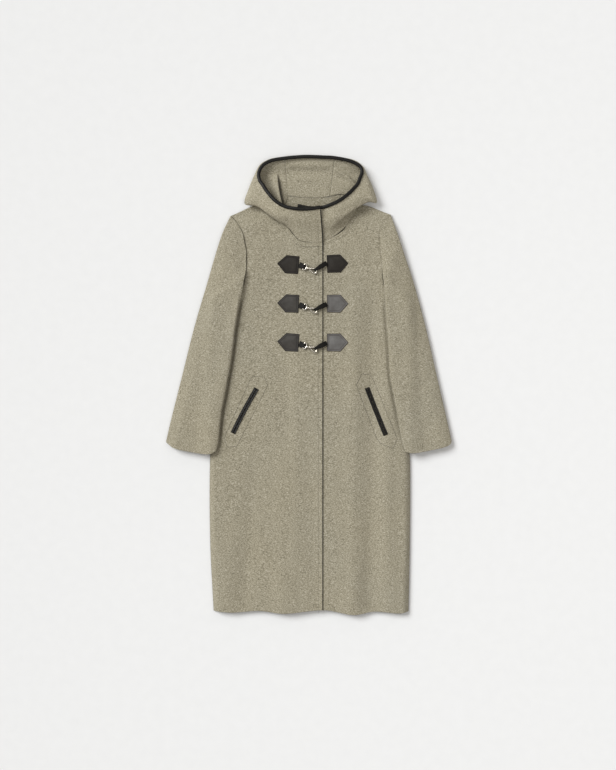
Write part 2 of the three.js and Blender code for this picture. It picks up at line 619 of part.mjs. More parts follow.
// A thin piece of leather that lies on a front, over a patch given by its own outline
function applied(side, outline, across, up, thickness) {
  const base = (point) => facetHeight(fronts[side], point.x, point.y) + LYING_GAP;
  const skin = (lift) => up.map((v) => across.map((u) => {
    const point = outline(u, v);
    return point.setZ(base(point) + lift);
  }));
  return shell(skin(thickness), skin(0));
}

// A pointed tab: straight at its base, then two slopes to a blunt tip
function tab(side, y) {
  const { base, shoulder, tip, halfHeight } = TAB[side];
  const rim = [
    { x: base, half: halfHeight },
    { x: shoulder, half: halfHeight + TAB_SPREAD },
    { x: tip, half: TAB_TIP },
  ];
  const outline = (u, v) => {
    const [near, far] = v < 0.5 ? rim.slice(0, 2) : rim.slice(1);
    const part = v < 0.5 ? 2 * v : 2 * v - 1;
    return new THREE.Vector3(mix(near.x, far.x, part), y + (2 * u - 1) * mix(near.half, far.half, part), 0);
  };
  return applied(side, outline, steps(4), steps(4), LEATHER);
}

// Places on a row's clasp: along it from the tab's edge, across it, and up from its own level
function claspPlace({ y, drop, slant }) {
  const forward = new THREE.Vector3(Math.cos(slant), Math.sin(slant), 0);
  const sideways = new THREE.Vector3(-forward.y, forward.x, 0);
  const origin = new THREE.Vector3(TAB.right.base + SEAM_GAP, y - drop, 0);
  const level = frontTop('right', 0, y) + CLASP_LIFT;
  return (along, across, up = 0) => origin.clone().addScaledVector(forward, along)
    .addScaledVector(sideways, across).setZ(level + up);
}

// A strip of leather folded round a wire: two layers from the root, joined by a loop round the eye
function foldedLoop({ root, eye, middleRise, rootHalfWidth, eyeHalfWidth, loopRadius }) {
  const forward = eye.clone().sub(root).setZ(0).normalize();
  const across = new THREE.Vector3(-forward.y, forward.x, 0);
  const shares = [0, 0.22, 0.44, 0.64, 0.82];
  const layer = (t, sign) => {
    const point = root.clone().lerp(eye, t);
    const spread = mix(FOLD_SPREAD, loopRadius, t * t);
    return point.setZ(point.z + middleRise * 4 * t * (1 - t) + sign * spread);
  };
  const bend = Array.from({ length: 7 }, (_, k) => {
    const angle = Math.PI / 2 - (Math.PI * k) / 6;
    const point = eye.clone().addScaledVector(forward, loopRadius * Math.cos(angle));
    return point.setZ(eye.z + loopRadius * Math.sin(angle));
  });
  const top = shares.map((t) => layer(t, 1));
  const under = shares.slice().reverse().map((t) => layer(t, -1));
  const path = [...top, ...bend, ...under];
  const share = [...shares, ...bend.map(() => 1), ...shares.slice().reverse()];
  return bar({
    path,
    across: () => across,
    halfWidth: (i) => Math.SQRT2 * mix(rootHalfWidth, eyeHalfWidth, smooth(share[i], 0.45, 1)),
    halfHeight: (Math.SQRT2 * LOOP_THICKNESS) / 2,
    sides: 4,
  });
}

// The loop that holds a snap hook on the right tab
function keeper(row) {
  const place = claspPlace(row);
  const root = place(KEEPER_ROOT, 0, LOOP_LIFT - CLASP_LIFT);
  return foldedLoop({ root, eye: place(EYE_BAR, 0), middleRise: 0, ...KEEPER });
}

// The loop on the left tab, caught in the snap hook
function strap(row) {
  const place = claspPlace(row);
  const x = TAB.left.base - STRAP_ROOT;
  const root = new THREE.Vector3(x, row.y + row.strapRise, frontTop('left', x, row.y) + LOOP_LIFT);
  return foldedLoop({ root, eye: place(...STRAP_EYE), middleRise: STRAP_RISE, ...STRAP });
}

// The strap eye of a snap hook: a bar with two arms that meet at the swivel
function claspEye(row) {
  const place = claspPlace(row);
  const rounded = new THREE.CatmullRomCurve3(EYE.map(([along, across]) => place(along, across)), true,
    'catmullrom', 0.35);
  return bar({
    path: rounded.getSpacedPoints(20).slice(0, -1),
    across: () => new THREE.Vector3(0, 0, 1),
    halfWidth: EYE_WIRE,
    halfHeight: EYE_WIRE,
    sides: 6,
    closed: true,
  });
}

// The swivel: a short barrel with a collar, on the clasp's axis
function swivel(row) {
  const place = claspPlace(row);
  const { start, end, radius, collar } = SWIVEL;
  const waist = (end - start) / 2;
  const profile = [[0, 0], [radius - 0.6, 0], [radius, 0.6], [radius, waist - 0.4], [collar, waist + 0.2],
    [collar, end - start - 0.6], [collar - 0.6, end - start], [0, end - start]];
  const geometry = new THREE.LatheGeometry(profile.map(([r, h]) => new THREE.Vector2(r, h)), 12);
  const forward = place(1, 0).sub(place(0, 0));
  geometry.applyQuaternion(new THREE.Quaternion().setFromUnitVectors(new THREE.Vector3(0, 1, 0), forward));
  const foot = place(start, 0);
  return geometry.translate(foot.x, foot.y, foot.z);
}

// The hook: a thick shank that narrows into an open bend
function hook(row) {
  const place = claspPlace(row);
  const route = new THREE.CatmullRomCurve3(HOOK.map(({ along, across }) => place(along, across)));
  const count = 22;
  const radiusAt = (i) => {
    const spot = (i / count) * (HOOK.length - 1);
    const near = Math.min(Math.floor(spot), HOOK.length - 2);
    return mix(HOOK[near].radius, HOOK[near + 1].radius, spot - near);
  };
  return bar({
    path: Array.from({ length: count + 1 }, (_, i) => route.getPoint(i / count)),
    across: () => new THREE.Vector3(0, 0, 1),
    halfWidth: (i) => Math.min(radiusAt(i), HOOK_HALF_THICKNESS),
    halfHeight: radiusAt,
    sides: 8,
  });
}

// The spring gate that closes the hook
function gate(row) {
  const place = claspPlace(row);
  return bar({
    path: [place(...GATE.from), place(...GATE.to)],
    across: () => new THREE.Vector3(0, 0, 1),
    halfWidth: GATE.radius,
    halfHeight: GATE.radius,
    sides: 8,
  });
}

// One leather lip of a pocket mouth, beside the mouth's centre line
function pocketLip(side, offset) {
  const { top, bottom } = POCKETS[side];
  const start = new THREE.Vector3(...top, 0);
  const end = new THREE.Vector3(...bottom, 0);
  const along = end.clone().sub(start).normalize();
  const sideways = new THREE.Vector3(-along.y, along.x, 0);
  const outline = (u, v) => start.clone().lerp(end, v)
    .addScaledVector(sideways, offset + (u - 0.5) * LIP_WIDTH);
  return applied(side, outline, [0, 0.5, 1], steps(12), LIP_RISE);
}

const fronts = { right: frontPanel('right'), left: frontPanel('left') };

add('back', backPanel(), wool);
for (const side of ['right', 'left']) {
  add(`front_${side}`, fronts[side], wool);
  add(`sleeve_${side}`, sleeve(side), wool);
  add(`hood_${side}`, hoodPiece(side, side === 'right' ? 22 : 24), wool);
  add(`binding_${side}`, binding(side), leather);
  FASTENINGS.forEach(({ y }, i) => add(`tab_${side}_${i + 1}`, tab(side, y), leather));
  add(`welt_${side}_outer`, pocketLip(side, (LIP_WIDTH + SEAM_GAP) / 2), leather);
  add(`welt_${side}_inner`, pocketLip(side, -(LIP_WIDTH + SEAM_GAP) / 2), leather);
}
add('hood_centre', hoodPiece('centre', 6), wool);
FASTENINGS.forEach((row, i) => {
  add(`keeper_${i + 1}`, keeper(row), leather);
  add(`strap_${i + 1}`, strap(row), leather);
  add(`eye_${i + 1}`, claspEye(row), nickel);
  add(`swivel_${i + 1}`, swivel(row), nickel);
  add(`hook_${i + 1}`, hook(row), nickel);
  add(`gate_${i + 1}`, gate(row), nickel);
});

export default coat;
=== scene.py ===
# %% [markdown]
# # A wool duffle coat, laid flat
# The coat lies on its back on a pale surface, closed, with its hood spread open above the neck. We make it
# piece by piece in the order of a workroom: panels, sleeves, hood, leather trims, metal clasps and thread.
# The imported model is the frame: it gives the sizes, and each new piece rides on its one body.

# %% Load the frame
import bpy
import numpy as np
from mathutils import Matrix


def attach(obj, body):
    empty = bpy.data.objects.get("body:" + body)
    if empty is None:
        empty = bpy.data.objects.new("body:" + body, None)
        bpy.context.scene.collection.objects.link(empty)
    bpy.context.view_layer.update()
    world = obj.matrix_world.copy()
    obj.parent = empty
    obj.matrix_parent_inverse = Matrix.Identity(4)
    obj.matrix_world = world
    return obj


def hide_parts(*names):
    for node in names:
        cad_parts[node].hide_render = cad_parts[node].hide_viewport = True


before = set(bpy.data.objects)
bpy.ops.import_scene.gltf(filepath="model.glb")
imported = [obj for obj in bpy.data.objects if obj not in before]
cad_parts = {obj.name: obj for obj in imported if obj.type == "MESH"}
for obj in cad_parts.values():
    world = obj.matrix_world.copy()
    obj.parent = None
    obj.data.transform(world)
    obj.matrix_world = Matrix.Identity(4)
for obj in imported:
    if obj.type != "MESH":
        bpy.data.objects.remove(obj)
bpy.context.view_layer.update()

MM = 0.001
BODY = "root"

# %% [markdown]
# ## Camera, surface and light
# A catalogue photograph of a coat is taken from straight above with a long lens, so that the sleeves don't
# lean outwards. A wide soft lamp at the upper left gives the gentle shadows at the lower right, and a pale
# sky fills the rest. The camera's width of view is the size of one photograph pixel times its pixels.

# %% Place the camera, the surface and the lamps
PIXEL = 2.75 * MM
FRAME = (616, 770)
CAMERA_HEIGHT = 5.0
CLOTH_LEVEL = 0.012


def lamp(name, kind, place, power, colour=(1, 1, 1), **settings):
    """A lamp that looks from its place at the middle of the coat."""
    data = bpy.data.lights.new(name, kind)
    data.energy, data.color = power, colour
    for setting, value in settings.items():
        setattr(data, setting, value)
    made = bpy.data.objects.new(name, data)
    made.location = place
    aim = -np.array(place)
    made.rotation_euler = (np.arctan2(np.hypot(*aim[:2]), -aim[2]), 0, np.arctan2(-aim[0], aim[1]))
    bpy.context.collection.objects.link(made)


camera_data = bpy.data.cameras.new("camera")
camera_data.sensor_fit = "VERTICAL"
camera_data.sensor_height = 24
camera_data.lens = 24 * (CAMERA_HEIGHT - CLOTH_LEVEL) / (FRAME[1] * PIXEL)
camera = bpy.data.objects.new("camera", camera_data)
camera.location = (-0.75 * PIXEL, 0.75 * PIXEL, CAMERA_HEIGHT)
bpy.context.collection.objects.link(camera)
bpy.context.scene.camera = camera

lamp("key_lamp", "SUN", (-2.5, 1.7, 2.75), 2.6, (0.975, 0.99, 1), angle=0.55)
lamp("fill_lamp", "AREA", (1.1, -0.2, 4.2), 24, shape="SQUARE", size=1.6)
world = bpy.data.worlds.new("soft_sky")
world.use_nodes = True
world.node_tree.nodes["Background"].inputs["Color"].default_value = (1, 0.975, 0.935, 1)
world.node_tree.nodes["Background"].inputs["Strength"].default_value = 0.42
bpy.context.scene.world = world
bpy.context.scene.view_settings.view_transform = "Standard"
print("lens", round(camera_data.lens, 1), "mm")

# %% [markdown]
# ## A short way to write shaders
# A finish is a small sum of noises. `Value` wraps one output of a node, so that `0.6 + 0.2 * grain` adds its
# Math nodes, and `Finish.node` makes every other node: its settings first, then its sockets.

# %% Write shader sums as Python


class Value:
    """One output of a node; a sum or product with it adds the Math node that works it out."""

    def __init__(self, finish, socket):
        self.finish, self.socket = finish, socket

    def math(self, operation, first, second):
        return self.finish.node("Math", {"operation": operation}, {0: first, 1: second})

    def __add__(self, other): return self.math("ADD", self, other)
    def __sub__(self, other): return self.math("SUBTRACT", self, other)
    def __rsub__(self, other): return self.math("SUBTRACT", other, self)
    def __mul__(self, other): return self.math("MULTIPLY", self, other)
    def __pow__(self, other): return self.math("POWER", self, other)
    __radd__ = __add__
    __rmul__ = __mul__


class Finish:
    """A material whose shader constants are set on the shader's own sockets."""

    def __init__(self, name, **constants):
        self.material = bpy.data.materials.new(name)
        self.material.use_nodes = True
        self.tree = self.material.node_tree
        self.shader = self.tree.nodes["Principled BSDF"]
        for socket, value in constants.items():
            self.shader.inputs[socket.replace("_", " ")].default_value = value

    def node(self, kind, settings=None, sockets=None, output=0):
        made = self.tree.nodes.new("ShaderNode" + kind)
        for key, value in (settings or {}).items():
            if key == "stops":
                for stop, (place, shade) in zip(self.stops(made, len(value)), value):
                    stop.position, stop.color = place, (*shade, 1)
            else:
                setattr(made, key, value)
        for key, value in (sockets or {}).items():
            self.feed(made.inputs[key], value)
        return Value(self, made.outputs[output])

    def stops(self, ramp_node, count):
        elements = ramp_node.color_ramp.elements
        while len(elements) < count:
            elements.new(1)
        return elements

    def feed(self, socket, value):
        if isinstance(value, Value):
            self.tree.links.new(value.socket, socket)
        else:
            socket.default_value = value

    def place(self, stretch=(1, 1, 1), turn=0.0):
        """Object coordinates in metres, stretched and turned about the vertical."""
        spot = self.node("TexCoord", output="Object")
        return self.node("Mapping", {}, {"Vector": spot, "Rotation": (0, 0, turn), "Scale": stretch})

    def noise(self, place, scale, detail=2.0, roughness=0.5, distortion=0.0):
        sockets = {"Vector": place, "Scale": scale, "Detail": detail, "Roughness": roughness,
                   "Distortion": distortion}
        return self.node("TexNoise", {}, sockets)

    def ramp(self, value, *stops):
        return self.node("ValToRGB", {"stops": stops}, {"Fac": value})

    def blend(self, share, first, second, how="MIX"):
        """A mix of two colours by a share."""
        settings = {"data_type": "RGBA", "blend_type": how, "clamp_factor": True}
        return self.node("Mix", settings, {0: share, 6: first, 7: second}, 2)

    def bump(self, height, distance, strength=1.0):
        self.feed(self.shader.inputs["Normal"], self.node(
            "Bump", {}, {"Height": height, "Distance": distance, "Strength": strength}))


print("shader helpers ready")

# %% [markdown]
# ## Wool
# The cloth is a melton: a thick wool that is fulled and brushed until no weave shows. It is spun from fibres
# dyed light and dark before spinning, so its grey-beige is a mixture of short flecks that never line up.
# Three noises of fibre size, stretched along three directions, stand for the fibres; a wider one gives the
# cloudiness of the brushing. The same fibres lift the surface in the bump, and a sheen stands for the nap.

# %% Make the wool


def grey(value, *tint):
    """A colour with its alpha."""
    return (value * tint[0], value * tint[1], value * tint[2], 1)


def wool(name, light=1.0):
    finish = Finish(name, Sheen_Weight=0.10, Sheen_Roughness=0.5, Specular_IOR_Level=0.2)
    straws = [finish.noise(finish.place((0.5, 1, 1), turn), 560, 1.5, 0.55) for turn in (0.3, -0.35, 1.35)]
    fibres = (straws[0] + straws[1] + straws[2]) * (1 / 3)
    fine = finish.noise(finish.place(), 1700, 2, 0.6)
    cloud = finish.noise(finish.place(), 60, 3, 0.55, 0.4)
    cast = finish.noise(finish.place(), 4.5, 2)
    mixed = fibres * 0.82 + fine * 0.16 + cloud * 0.02
    shade = finish.ramp(mixed, *((place, tuple(light * part for part in shade)) for place, shade in (
        (0.36, (0.116, 0.102, 0.071)),
        (0.45, (0.246, 0.221, 0.157)),
        (0.52, (0.352, 0.317, 0.236)),
        (0.62, (0.540, 0.500, 0.402)),
    )))
    warm = finish.blend(cast, grey(1, 1, 0.985, 0.95), grey(1, 0.98, 1, 1.03))
    worn = finish.blend(1.0, shade, warm, "MULTIPLY")
    # Painted shade: where the rim attribute is set, the cloth is blended towards near-black; the hood sets it in
    # the gap beside a fold.
    painted_gap_shade = finish.node("Attribute", {"attribute_name": "rim"}, {}, "Fac")
    finish.feed(finish.shader.inputs["Base Color"], finish.blend(painted_gap_shade, worn, grey(0.035, 1, 0.9, 0.7)))
    finish.feed(finish.shader.inputs["Roughness"], 0.86 + 0.12 * fine)
    finish.bump(fibres * 0.8 + fine * 0.5, 1.0 * MM, 0.8)
    return finish.material


WOOL = wool("heather_wool")
# Painted light: the hood takes a copy of the same wool 11 % lighter, standing for the brighter light on it.
HOOD_WOOL_PAINTED_LIGHTER = wool("heather_wool_hood", 1.11)
print("wool ready")

# %% [markdown]
# ## Leather, metal and thread
# The trims are dark brown calf with a fine pebble grain, and their cut edges are painted nearly black. Cells
# of about a millimetre give the pebbles, and a soft noise gives the creases and the uneven gloss. The clasps
# are polished nickel with a warm cast, dulled a little by handling. The thread is a twisted polyester cord.

# %% Make the leather, the metal and the thread


def leather(name, light, gloss, specular, warm=1.0):
    finish = Finish(name, Specular_IOR_Level=specular)
    green, blue = 1 - 0.11 * warm, 1 - 0.25 * warm
    spot = finish.place()
    pebbles = finish.node("TexVoronoi", {"feature": "F1"}, {"Vector": spot, "Scale": 950}, "Distance")
    creases = finish.noise(spot, 170, 4, 0.6, 0.8)
    tone = finish.noise(spot, 38, 3, 0.6)
    rim = finish.node("Attribute", {"attribute_name": "rim"}, {}, "Fac")
    hide = finish.ramp(
        tone,
        (0.30, grey(light * 0.74, 1, green * 0.97, blue * 0.95)[:3]),
        (0.55, grey(light, 1, green, blue)[:3]),
        (0.75, grey(light * 1.36, 1, green, blue)[:3]),
    )
    painted = (light * 0.35, light * 0.27, light * 0.24, 1)
    finish.feed(finish.shader.inputs["Base Color"], finish.blend(rim, hide, painted))
    finish.feed(finish.shader.inputs["Roughness"], gloss + 0.16 * creases + 0.10 * pebbles)
    finish.bump(creases * 0.6 - pebbles * 0.8, 0.22 * MM, 0.8)
    return finish.material


def metal(name, colour, roughness):
    finish = Finish(name, Metallic=1.0)
    spot = finish.place()
    wear = finish.noise(spot, 260, 4, 0.6)
    hairs = finish.noise(finish.place((1, 9, 1), 0.4), 900, 2, 0.5)
    rim = finish.node("Attribute", {"attribute_name": "rim"}, {}, "Fac")
    bright = finish.blend(wear ** 2.0, grey(1, *colour), grey(0.62, *colour))
    # Painted reflection and shade: where the rim attribute is high, at the sides of each bar, the colour drops to
    # near-black, and the tops keep the bright colour.
    finish.feed(finish.shader.inputs["Base Color"], finish.blend(rim, bright, grey(0.06, *colour)))
    finish.feed(finish.shader.inputs["Roughness"], roughness + 0.16 * wear)
    finish.bump(wear * 0.7 + hairs * 0.3, 0.05 * MM, 0.5)
    return finish.material


def thread(name, colour):
    finish = Finish(name, Sheen_Weight=0.15, Specular_IOR_Level=0.35)
    spot = finish.place()
    strands = finish.node("TexWave", {"bands_direction": "DIAGONAL"},
                          {"Vector": spot, "Scale": 620, "Distortion": 1.5, "Detail": 1})
    finish.feed(finish.shader.inputs["Base Color"],
                finish.blend(strands, grey(0.72, *colour), grey(1.12, *colour)))
    finish.feed(finish.shader.inputs["Roughness"], 0.6 + 0.2 * strands)
    finish.bump(strands, 0.12 * MM, 0.6)
    return finish.material


# One hide in three tones. The pale, greyer one is painted sheen: the sky's reflection on the left tabs of the lower
# two rows. The top row's tabs take the darkest tone and the rest take the plain one.
TAB_TONES = (("dark", 0.026, 0.46, 0.16, 1.2), ("plain", 0.041, 0.44, 0.32, 1.0),
             ("rubbed", 0.128, 0.46, 0.40, 0.35))
TAB_LEATHERS = {name: leather("tab_leather_" + name, *tone) for name, *tone in TAB_TONES}
TRIM_LEATHER = leather("trim_leather", 0.0090, 0.40, 0.24)
BINDING_LEATHER = leather("binding_leather", 0.0085, 0.27, 0.22)
LOOP_LEATHER = leather("loop_leather", 0.0085, 0.46, 0.14)
WELT_LEATHER = leather("welt_leather", 0.0070, 0.30, 0.30)
NICKEL = metal("warm_nickel", (0.95, 0.89, 0.77), 0.14)
WOOL_THREAD = thread("wool_thread", (0.062, 0.055, 0.040))
LAP_THREAD = thread("lap_thread", (0.175, 0.158, 0.120))
DARK_THREAD = thread("dark_thread", (0.020, 0.017, 0.015))
print("finishes:", [material.name for material in bpy.data.materials])

# %% [markdown]
# ## Curves, tables and patches
# A pattern cutter fixes a few points of an outline and joins them by eye. `table_at` and `spline` do that
# joining: both pass through every given point, and nothing between them has to be typed. `patch` then fills
# four such edges with a smooth sheet, so every panel is a function of two shares, `u` across and `v` up.

# %% Join points by smooth lines


def mix(first, second, share):
    return first + (second - first) * share


def smooth(value, low, high):
    """0 below low and 1 above high; between them 3t² - 2t³ of the share t of the way."""
    t = np.clip((value - low) / (high - low), 0, 1)
    return t * t * (3 - 2 * t)


def table_at(rows, place):
    """Cubic between the rows (place, value); a row's slope is that of the chord of its two neighbours."""
    keys, values = np.array(rows, float).T
    after = np.minimum(np.arange(len(keys)) + 1, len(keys) - 1)
    before = np.maximum(np.arange(len(keys)) - 1, 0)
    slope = (values[after] - values[before]) / (keys[after] - keys[before])
    i = np.clip(np.searchsorted(keys, place) - 1, 0, len(keys) - 2)
    span = keys[i + 1] - keys[i]
    t = np.clip((place - keys[i]) / span, 0, 1)
    bend = span * (slope[i] * t * (1 - t) ** 2 - slope[i + 1] * t * t * (1 - t))
    return mix(values[i], values[i + 1], t * t * (3 - 2 * t)) + bend


def spline(points, s):
    """Cubic through points[0], points[1], …, at s = 0, 1, …; its knots are spaced by the square root of the
    distance between points, which keeps the line from looping at close points."""
    points = np.array(points, float)
    p = np.concatenate([2 * points[:1] - points[1:2], points, 2 * points[-1:] - points[-2:-1]])
    gap = np.linalg.norm(np.diff(p, axis=0), axis=-1, keepdims=True) ** 0.5
    i = np.minimum(np.floor(s).astype(int), len(points) - 2)
    t = (s - i).reshape((-1,) + (1,) * (points.ndim - 1))
    a, b, c, d = (p[i + k] for k in range(4))
    g, h, k = (gap[i + k] for k in range(3))
    leave = ((b - a) / g - (c - a) / (g + h) + (c - b) / h) * h
    arrive = ((c - b) / h - (d - b) / (h + k) + (d - c) / k) * h
    return b + t * (leave + t * (3 * (c - b) - 2 * leave - arrive + t * (2 * (b - c) + leave + arrive)))


def by_length(points, count=1500):
    """The spline as a function of 0 to 1 along its length."""
    line = spline(points, np.linspace(0, len(points) - 1, count))
    gone = np.r_[0, np.cumsum(np.linalg.norm(np.diff(line, axis=0), axis=1))]
    return lambda t: np.stack(
        [np.interp(np.clip(t, 0, 1) * gone[-1], gone, column) for column in line.T], -1)


def patch(bottom, top, start, end):
    """Sheet between four edges: both straight blends of opposite edges, less that of the four corners."""
    def at(u, v):
        u, v = np.broadcast_arrays(u, v)
        a, b = u[..., None], v[..., None]
        zero, one = np.zeros(1), np.ones(1)
        edges = (1 - b) * bottom(u) + b * top(u) + (1 - a) * start(v) + a * end(v)
        corners = (1 - b) * mix(bottom(zero), bottom(one), a) + b * mix(top(zero), top(one), a)
        return edges - corners
    return at


def shares(length, step, fine_start=True, fine_end=True):
    """Shares 0 to 1 in even steps, with closer ones in the last 3 mm, where an edge is rounded."""
    near = np.array([0, 0.1, 0.4, 0.9, 1.5, 2.2, 3.0]) / length
    even = np.linspace(near[-1] * fine_start, 1 - near[-1] * fine_end, max(int(length / step), 2) + 1)
    return np.unique(np.r_[near if fine_start else 0, even, 1 - near if fine_end else 1])


print("a table half way between two rows:", table_at([(0, 0), (10, 4), (20, 5)], np.array([5.0])))

# %% [markdown]
# ## From points to a piece
# Every flat or folded piece is a shell: an outer and an inner grid of points, joined along the free edges.
# Long trims are a section carried along a path. One function puts either into a mesh, gives it its finish
# and its place on the frame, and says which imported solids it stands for.

# %% Build meshes from grids


def add_piece(name, points, faces, finish, replaces=(), slot="wool_cloth", rim=None, flat=None):
    """A mesh object from points in millimetres, turned so that its faces point out."""
    corners = points[faces]
    volume = np.einsum("ij,ij->i", corners[:, 0], np.cross(corners[:, 1], corners[:, 2]))
    volume = volume.sum() + np.einsum("ij,ij->i", corners[:, 0], np.cross(corners[:, 2], corners[:, 3])).sum()
    faces = faces[:, ::-1] if volume < 0 else faces
    mesh = bpy.data.meshes.new(name)
    mesh.from_pydata((points * MM).tolist(), [], faces.tolist())
    mesh.validate()
    mesh.polygons.foreach_set("use_smooth", np.ones(len(mesh.polygons), bool))
    layer = mesh.uv_layers.new(name="cloth_grain")
    order = np.zeros(len(mesh.loops), int)
    mesh.loops.foreach_get("vertex_index", order)
    layer.data.foreach_set("uv", ((points[:, :2] if flat is None else flat) * MM)[order].ravel())
    shade = mesh.attributes.new("rim", "FLOAT", "POINT")
    shade.data.foreach_set("value", np.zeros(len(points)) if rim is None else rim)
    mesh.materials.append(finish)
    piece = bpy.data.objects.new(name, mesh)
    bpy.context.collection.objects.link(piece)
    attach(piece, BODY)
    if replaces:
        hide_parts(*replaces)
    return piece


def quads(a, b, c, d):
    return np.stack([a, b, c, d], -1).reshape(-1, 4)


def shell(outer, inner, tube=False):
    """Points and faces of two facing grids; the rows of a tube close on themselves."""
    rows, columns = outer.shape[:2]
    index = np.arange(2 * rows * columns).reshape(2, rows, columns)
    index = np.concatenate([index, index[:, :, :1]], 2) if tube else index
    o, i = index
    faces = [quads(o[:-1, :-1], o[:-1, 1:], o[1:, 1:], o[1:, :-1]),
             quads(i[:-1, :-1], i[1:, :-1], i[1:, 1:], i[:-1, 1:]),
             quads(o[0, :-1], i[0, :-1], i[0, 1:], o[0, 1:]),
             quads(o[-1, :-1], o[-1, 1:], i[-1, 1:], i[-1, :-1])]
    if not tube:
        faces += [quads(o[:-1, 0], o[1:, 0], i[1:, 0], i[:-1, 0]),
                  quads(o[:-1, -1], i[:-1, -1], i[1:, -1], o[1:, -1])]
    return np.concatenate([outer.reshape(-1, 3), inner.reshape(-1, 3)]), np.concatenate(faces)


def unit(vectors):
    return vectors / np.maximum(np.linalg.norm(vectors, axis=-1, keepdims=True), 1e-9)


def ring_faces(index, closed=False):
    """Quads between rings of points; the open ends are closed by rungs from side to side."""
    around = np.concatenate([index, index[:, :1]], 1)
    around = np.concatenate([around, around[:1]]) if closed else around
    faces = [quads(around[:-1, :-1], around[:-1, 1:], around[1:, 1:], around[1:, :-1])]
    if not closed:
        k, first, last = np.arange(index.shape[1] // 2 - 1), index[0], index[-1]
        faces += [quads(first[k + 1], first[k], first[-1 - k], first[-2 - k]),
                  quads(last[k], last[k + 1], last[-2 - k], last[-1 - k])]
    return np.concatenate(faces)


def sweep(path, across, half_width, half_height, sides=20, square=1.0, closed=False):
    """Section carried along a path. The section is (cos, sin) of an angle, each to a power, times its half
    sizes; `across` is the way of its width. Open ends are drawn in to a rounded tip."""
    count = len(path)
    width, height = np.broadcast_to(half_width, count), np.broadcast_to(half_height, count)
    ahead = (np.roll(path, -1, 0) - np.roll(path, 1, 0)) if closed else np.gradient(path, axis=0)
    ahead = unit(ahead)
    side = np.broadcast_to(across, path.shape)
    side = unit(side - ahead * (side * ahead).sum(-1, keepdims=True))
    up = np.cross(ahead, side)
    if not closed:
        tip = np.array([0.02, 0.5, 0.8, 0.95])
        back = np.minimum(width, height)[[0, -1]]
        push = np.sqrt(1 - tip ** 2)[:, None]
        ends = [path[0] - ahead[0] * back[0] * 0.5 * push, path[-1] + ahead[-1] * back[1] * 0.5 * push[::-1]]
        path = np.concatenate([ends[0], path, ends[1]])
        grow = np.r_[tip, np.ones(count), tip[::-1]]
        pick = np.r_[[0] * 4, np.arange(count), [count - 1] * 4]
        width, height = width[pick] * grow, height[pick] * grow
        side, up, count = side[pick], up[pick], count + 8
    angle = 2 * np.pi * np.arange(sides) / sides
    cos, sin = (np.sign(f) * np.abs(f) ** square for f in (np.cos(angle), np.sin(angle)))
    points = (path[:, None] + side[:, None] * (width[:, None] * cos)[..., None]
              + up[:, None] * (height[:, None] * sin)[..., None])
    return points.reshape(-1, 3), ring_faces(np.arange(count * sides).reshape(count, sides), closed)


print("mesh helpers ready")

# %% [markdown]
# ## The pattern of the coat
# These tables are the outlines of the closed coat as it lies, in millimetres from the middle of the model,
# with Y towards the hood. Side edges are tables of (y, x); the hem and the neck seams are lines of (x, y).

# %% Give the outlines
CLOTH, SEAM_GAP, LYING_GAP = 3.0, 0.3, 0.6
CHEST_HEIGHT, EDGE_HEIGHT = 17.0, 6.4
SIDE_CURL, SHOULDER_CURL = 16.0, 42.0
LAP_RISE, LAP_EDGE_X, UNDERLAP_EDGE_X = 3.6, 37.8, -29.0
EDGE_ROUND = 1.42

FRONT_EDGE = {
    "right": [(-620, -262), (-425, -271.5), (-190, -271.5), (60, -258), (200, -251), (225, -244), (245, -222),
              (262, -192), (277, -178.4), (320, -171), (360, -169.8), (412, -177.5), (448, -196), (466, -213)],
    "left": [(-621, 275), (-425, 278.5), (-190, 278.5), (60, 266), (200, 261), (225, 255), (245, 238),
             (262, 216), (277, 205), (320, 200), (387, 195), (422, 192), (452, 206), (470, 223)],
}
BACK_EDGE = {
    "right": [(-616, -261), (-425, -270.5), (-190, -270.5), (60, -257), (210, -249), (300, -236),
              (400, -224), (466, -213)],
    "left": [(-616, 274), (-425, 277.5), (-190, 277.5), (60, 265), (210, 259), (300, 246), (400, 234),
             (470, 223)],
}
CLIMB_LINE = {
    "right": [(-620, -277), (60, -264), (200, -258), (228, -256), (252, -244), (284, -194), (300, -188),
              (326, -138), (480, -135)],
    "left": [(-620, 285), (60, 272), (200, 268), (228, 266), (252, 256), (284, 221), (300, 214), (326, 168),
             (480, 160)],
}
HEM = [(-262, -619), (-210, -623.5), (-135, -619), (-69, -626.5), (42, -617), (124, -630), (182, -621),
       (250, -626), (275, -621)]
FRONT_NECK = {
    "right": [(37.8, 392.6), (-20.8, 394.5), (-40, 411), (-56, 432), (-70, 450), (-96.5, 478), (-122, 500)],
    "left": [(-29, 399.5), (4, 395.5), (34, 397.5), (63.4, 406), (91.4, 423), (103, 438), (120, 468),
             (141, 494.5)],
}
BACK_NECK = [(-122, 500), (-107, 516), (-76, 524), (-40, 520), (8, 517), (52, 519), (92, 526), (125, 512),
             (141, 494.5)]
print("hem to shoulder:", FRONT_EDGE["left"][-1][0] - FRONT_EDGE["left"][0][0], "mm")

# %% [markdown]
# ## Folds and creases
# Thick wool doesn't wrinkle sharply: it rolls. Each fold here is one line with its half-width and height, placed
# where the photograph shows a light ridge or a dark trough, and each one wanders a little from its straight line,
# so no two run parallel. `FOLDS` are the large ones of the imported solids.

# %% Place the folds
FOLDS = [
    (178, 290, 172, -600, 24, -4.5), (122, 290, 118, -600, 25, 4), (214, 60, 218, -600, 22, 3.2),
    (-4, -90, 20, -590, 20, -2.5), (-70, -150, -66, -620, 28, 3.4), (-144, -190, -174, -580, 24, -3.6),
    (-228, -430, -226, -640, 26, 3.4), (-70, -480, -69, -650, 26, 3), (124, -450, 124, -650, 26, 3),
    (246, -460, 250, -650, 18, 2), (-96, 386, -50, 392, 14, 2), (120, 395, 60, 330, 22, 2),
]


def per_line(column, x):
    """One value for each line, shaped to meet every place."""
    return np.array(column, float).reshape((-1,) + (1,) * np.ndim(x))


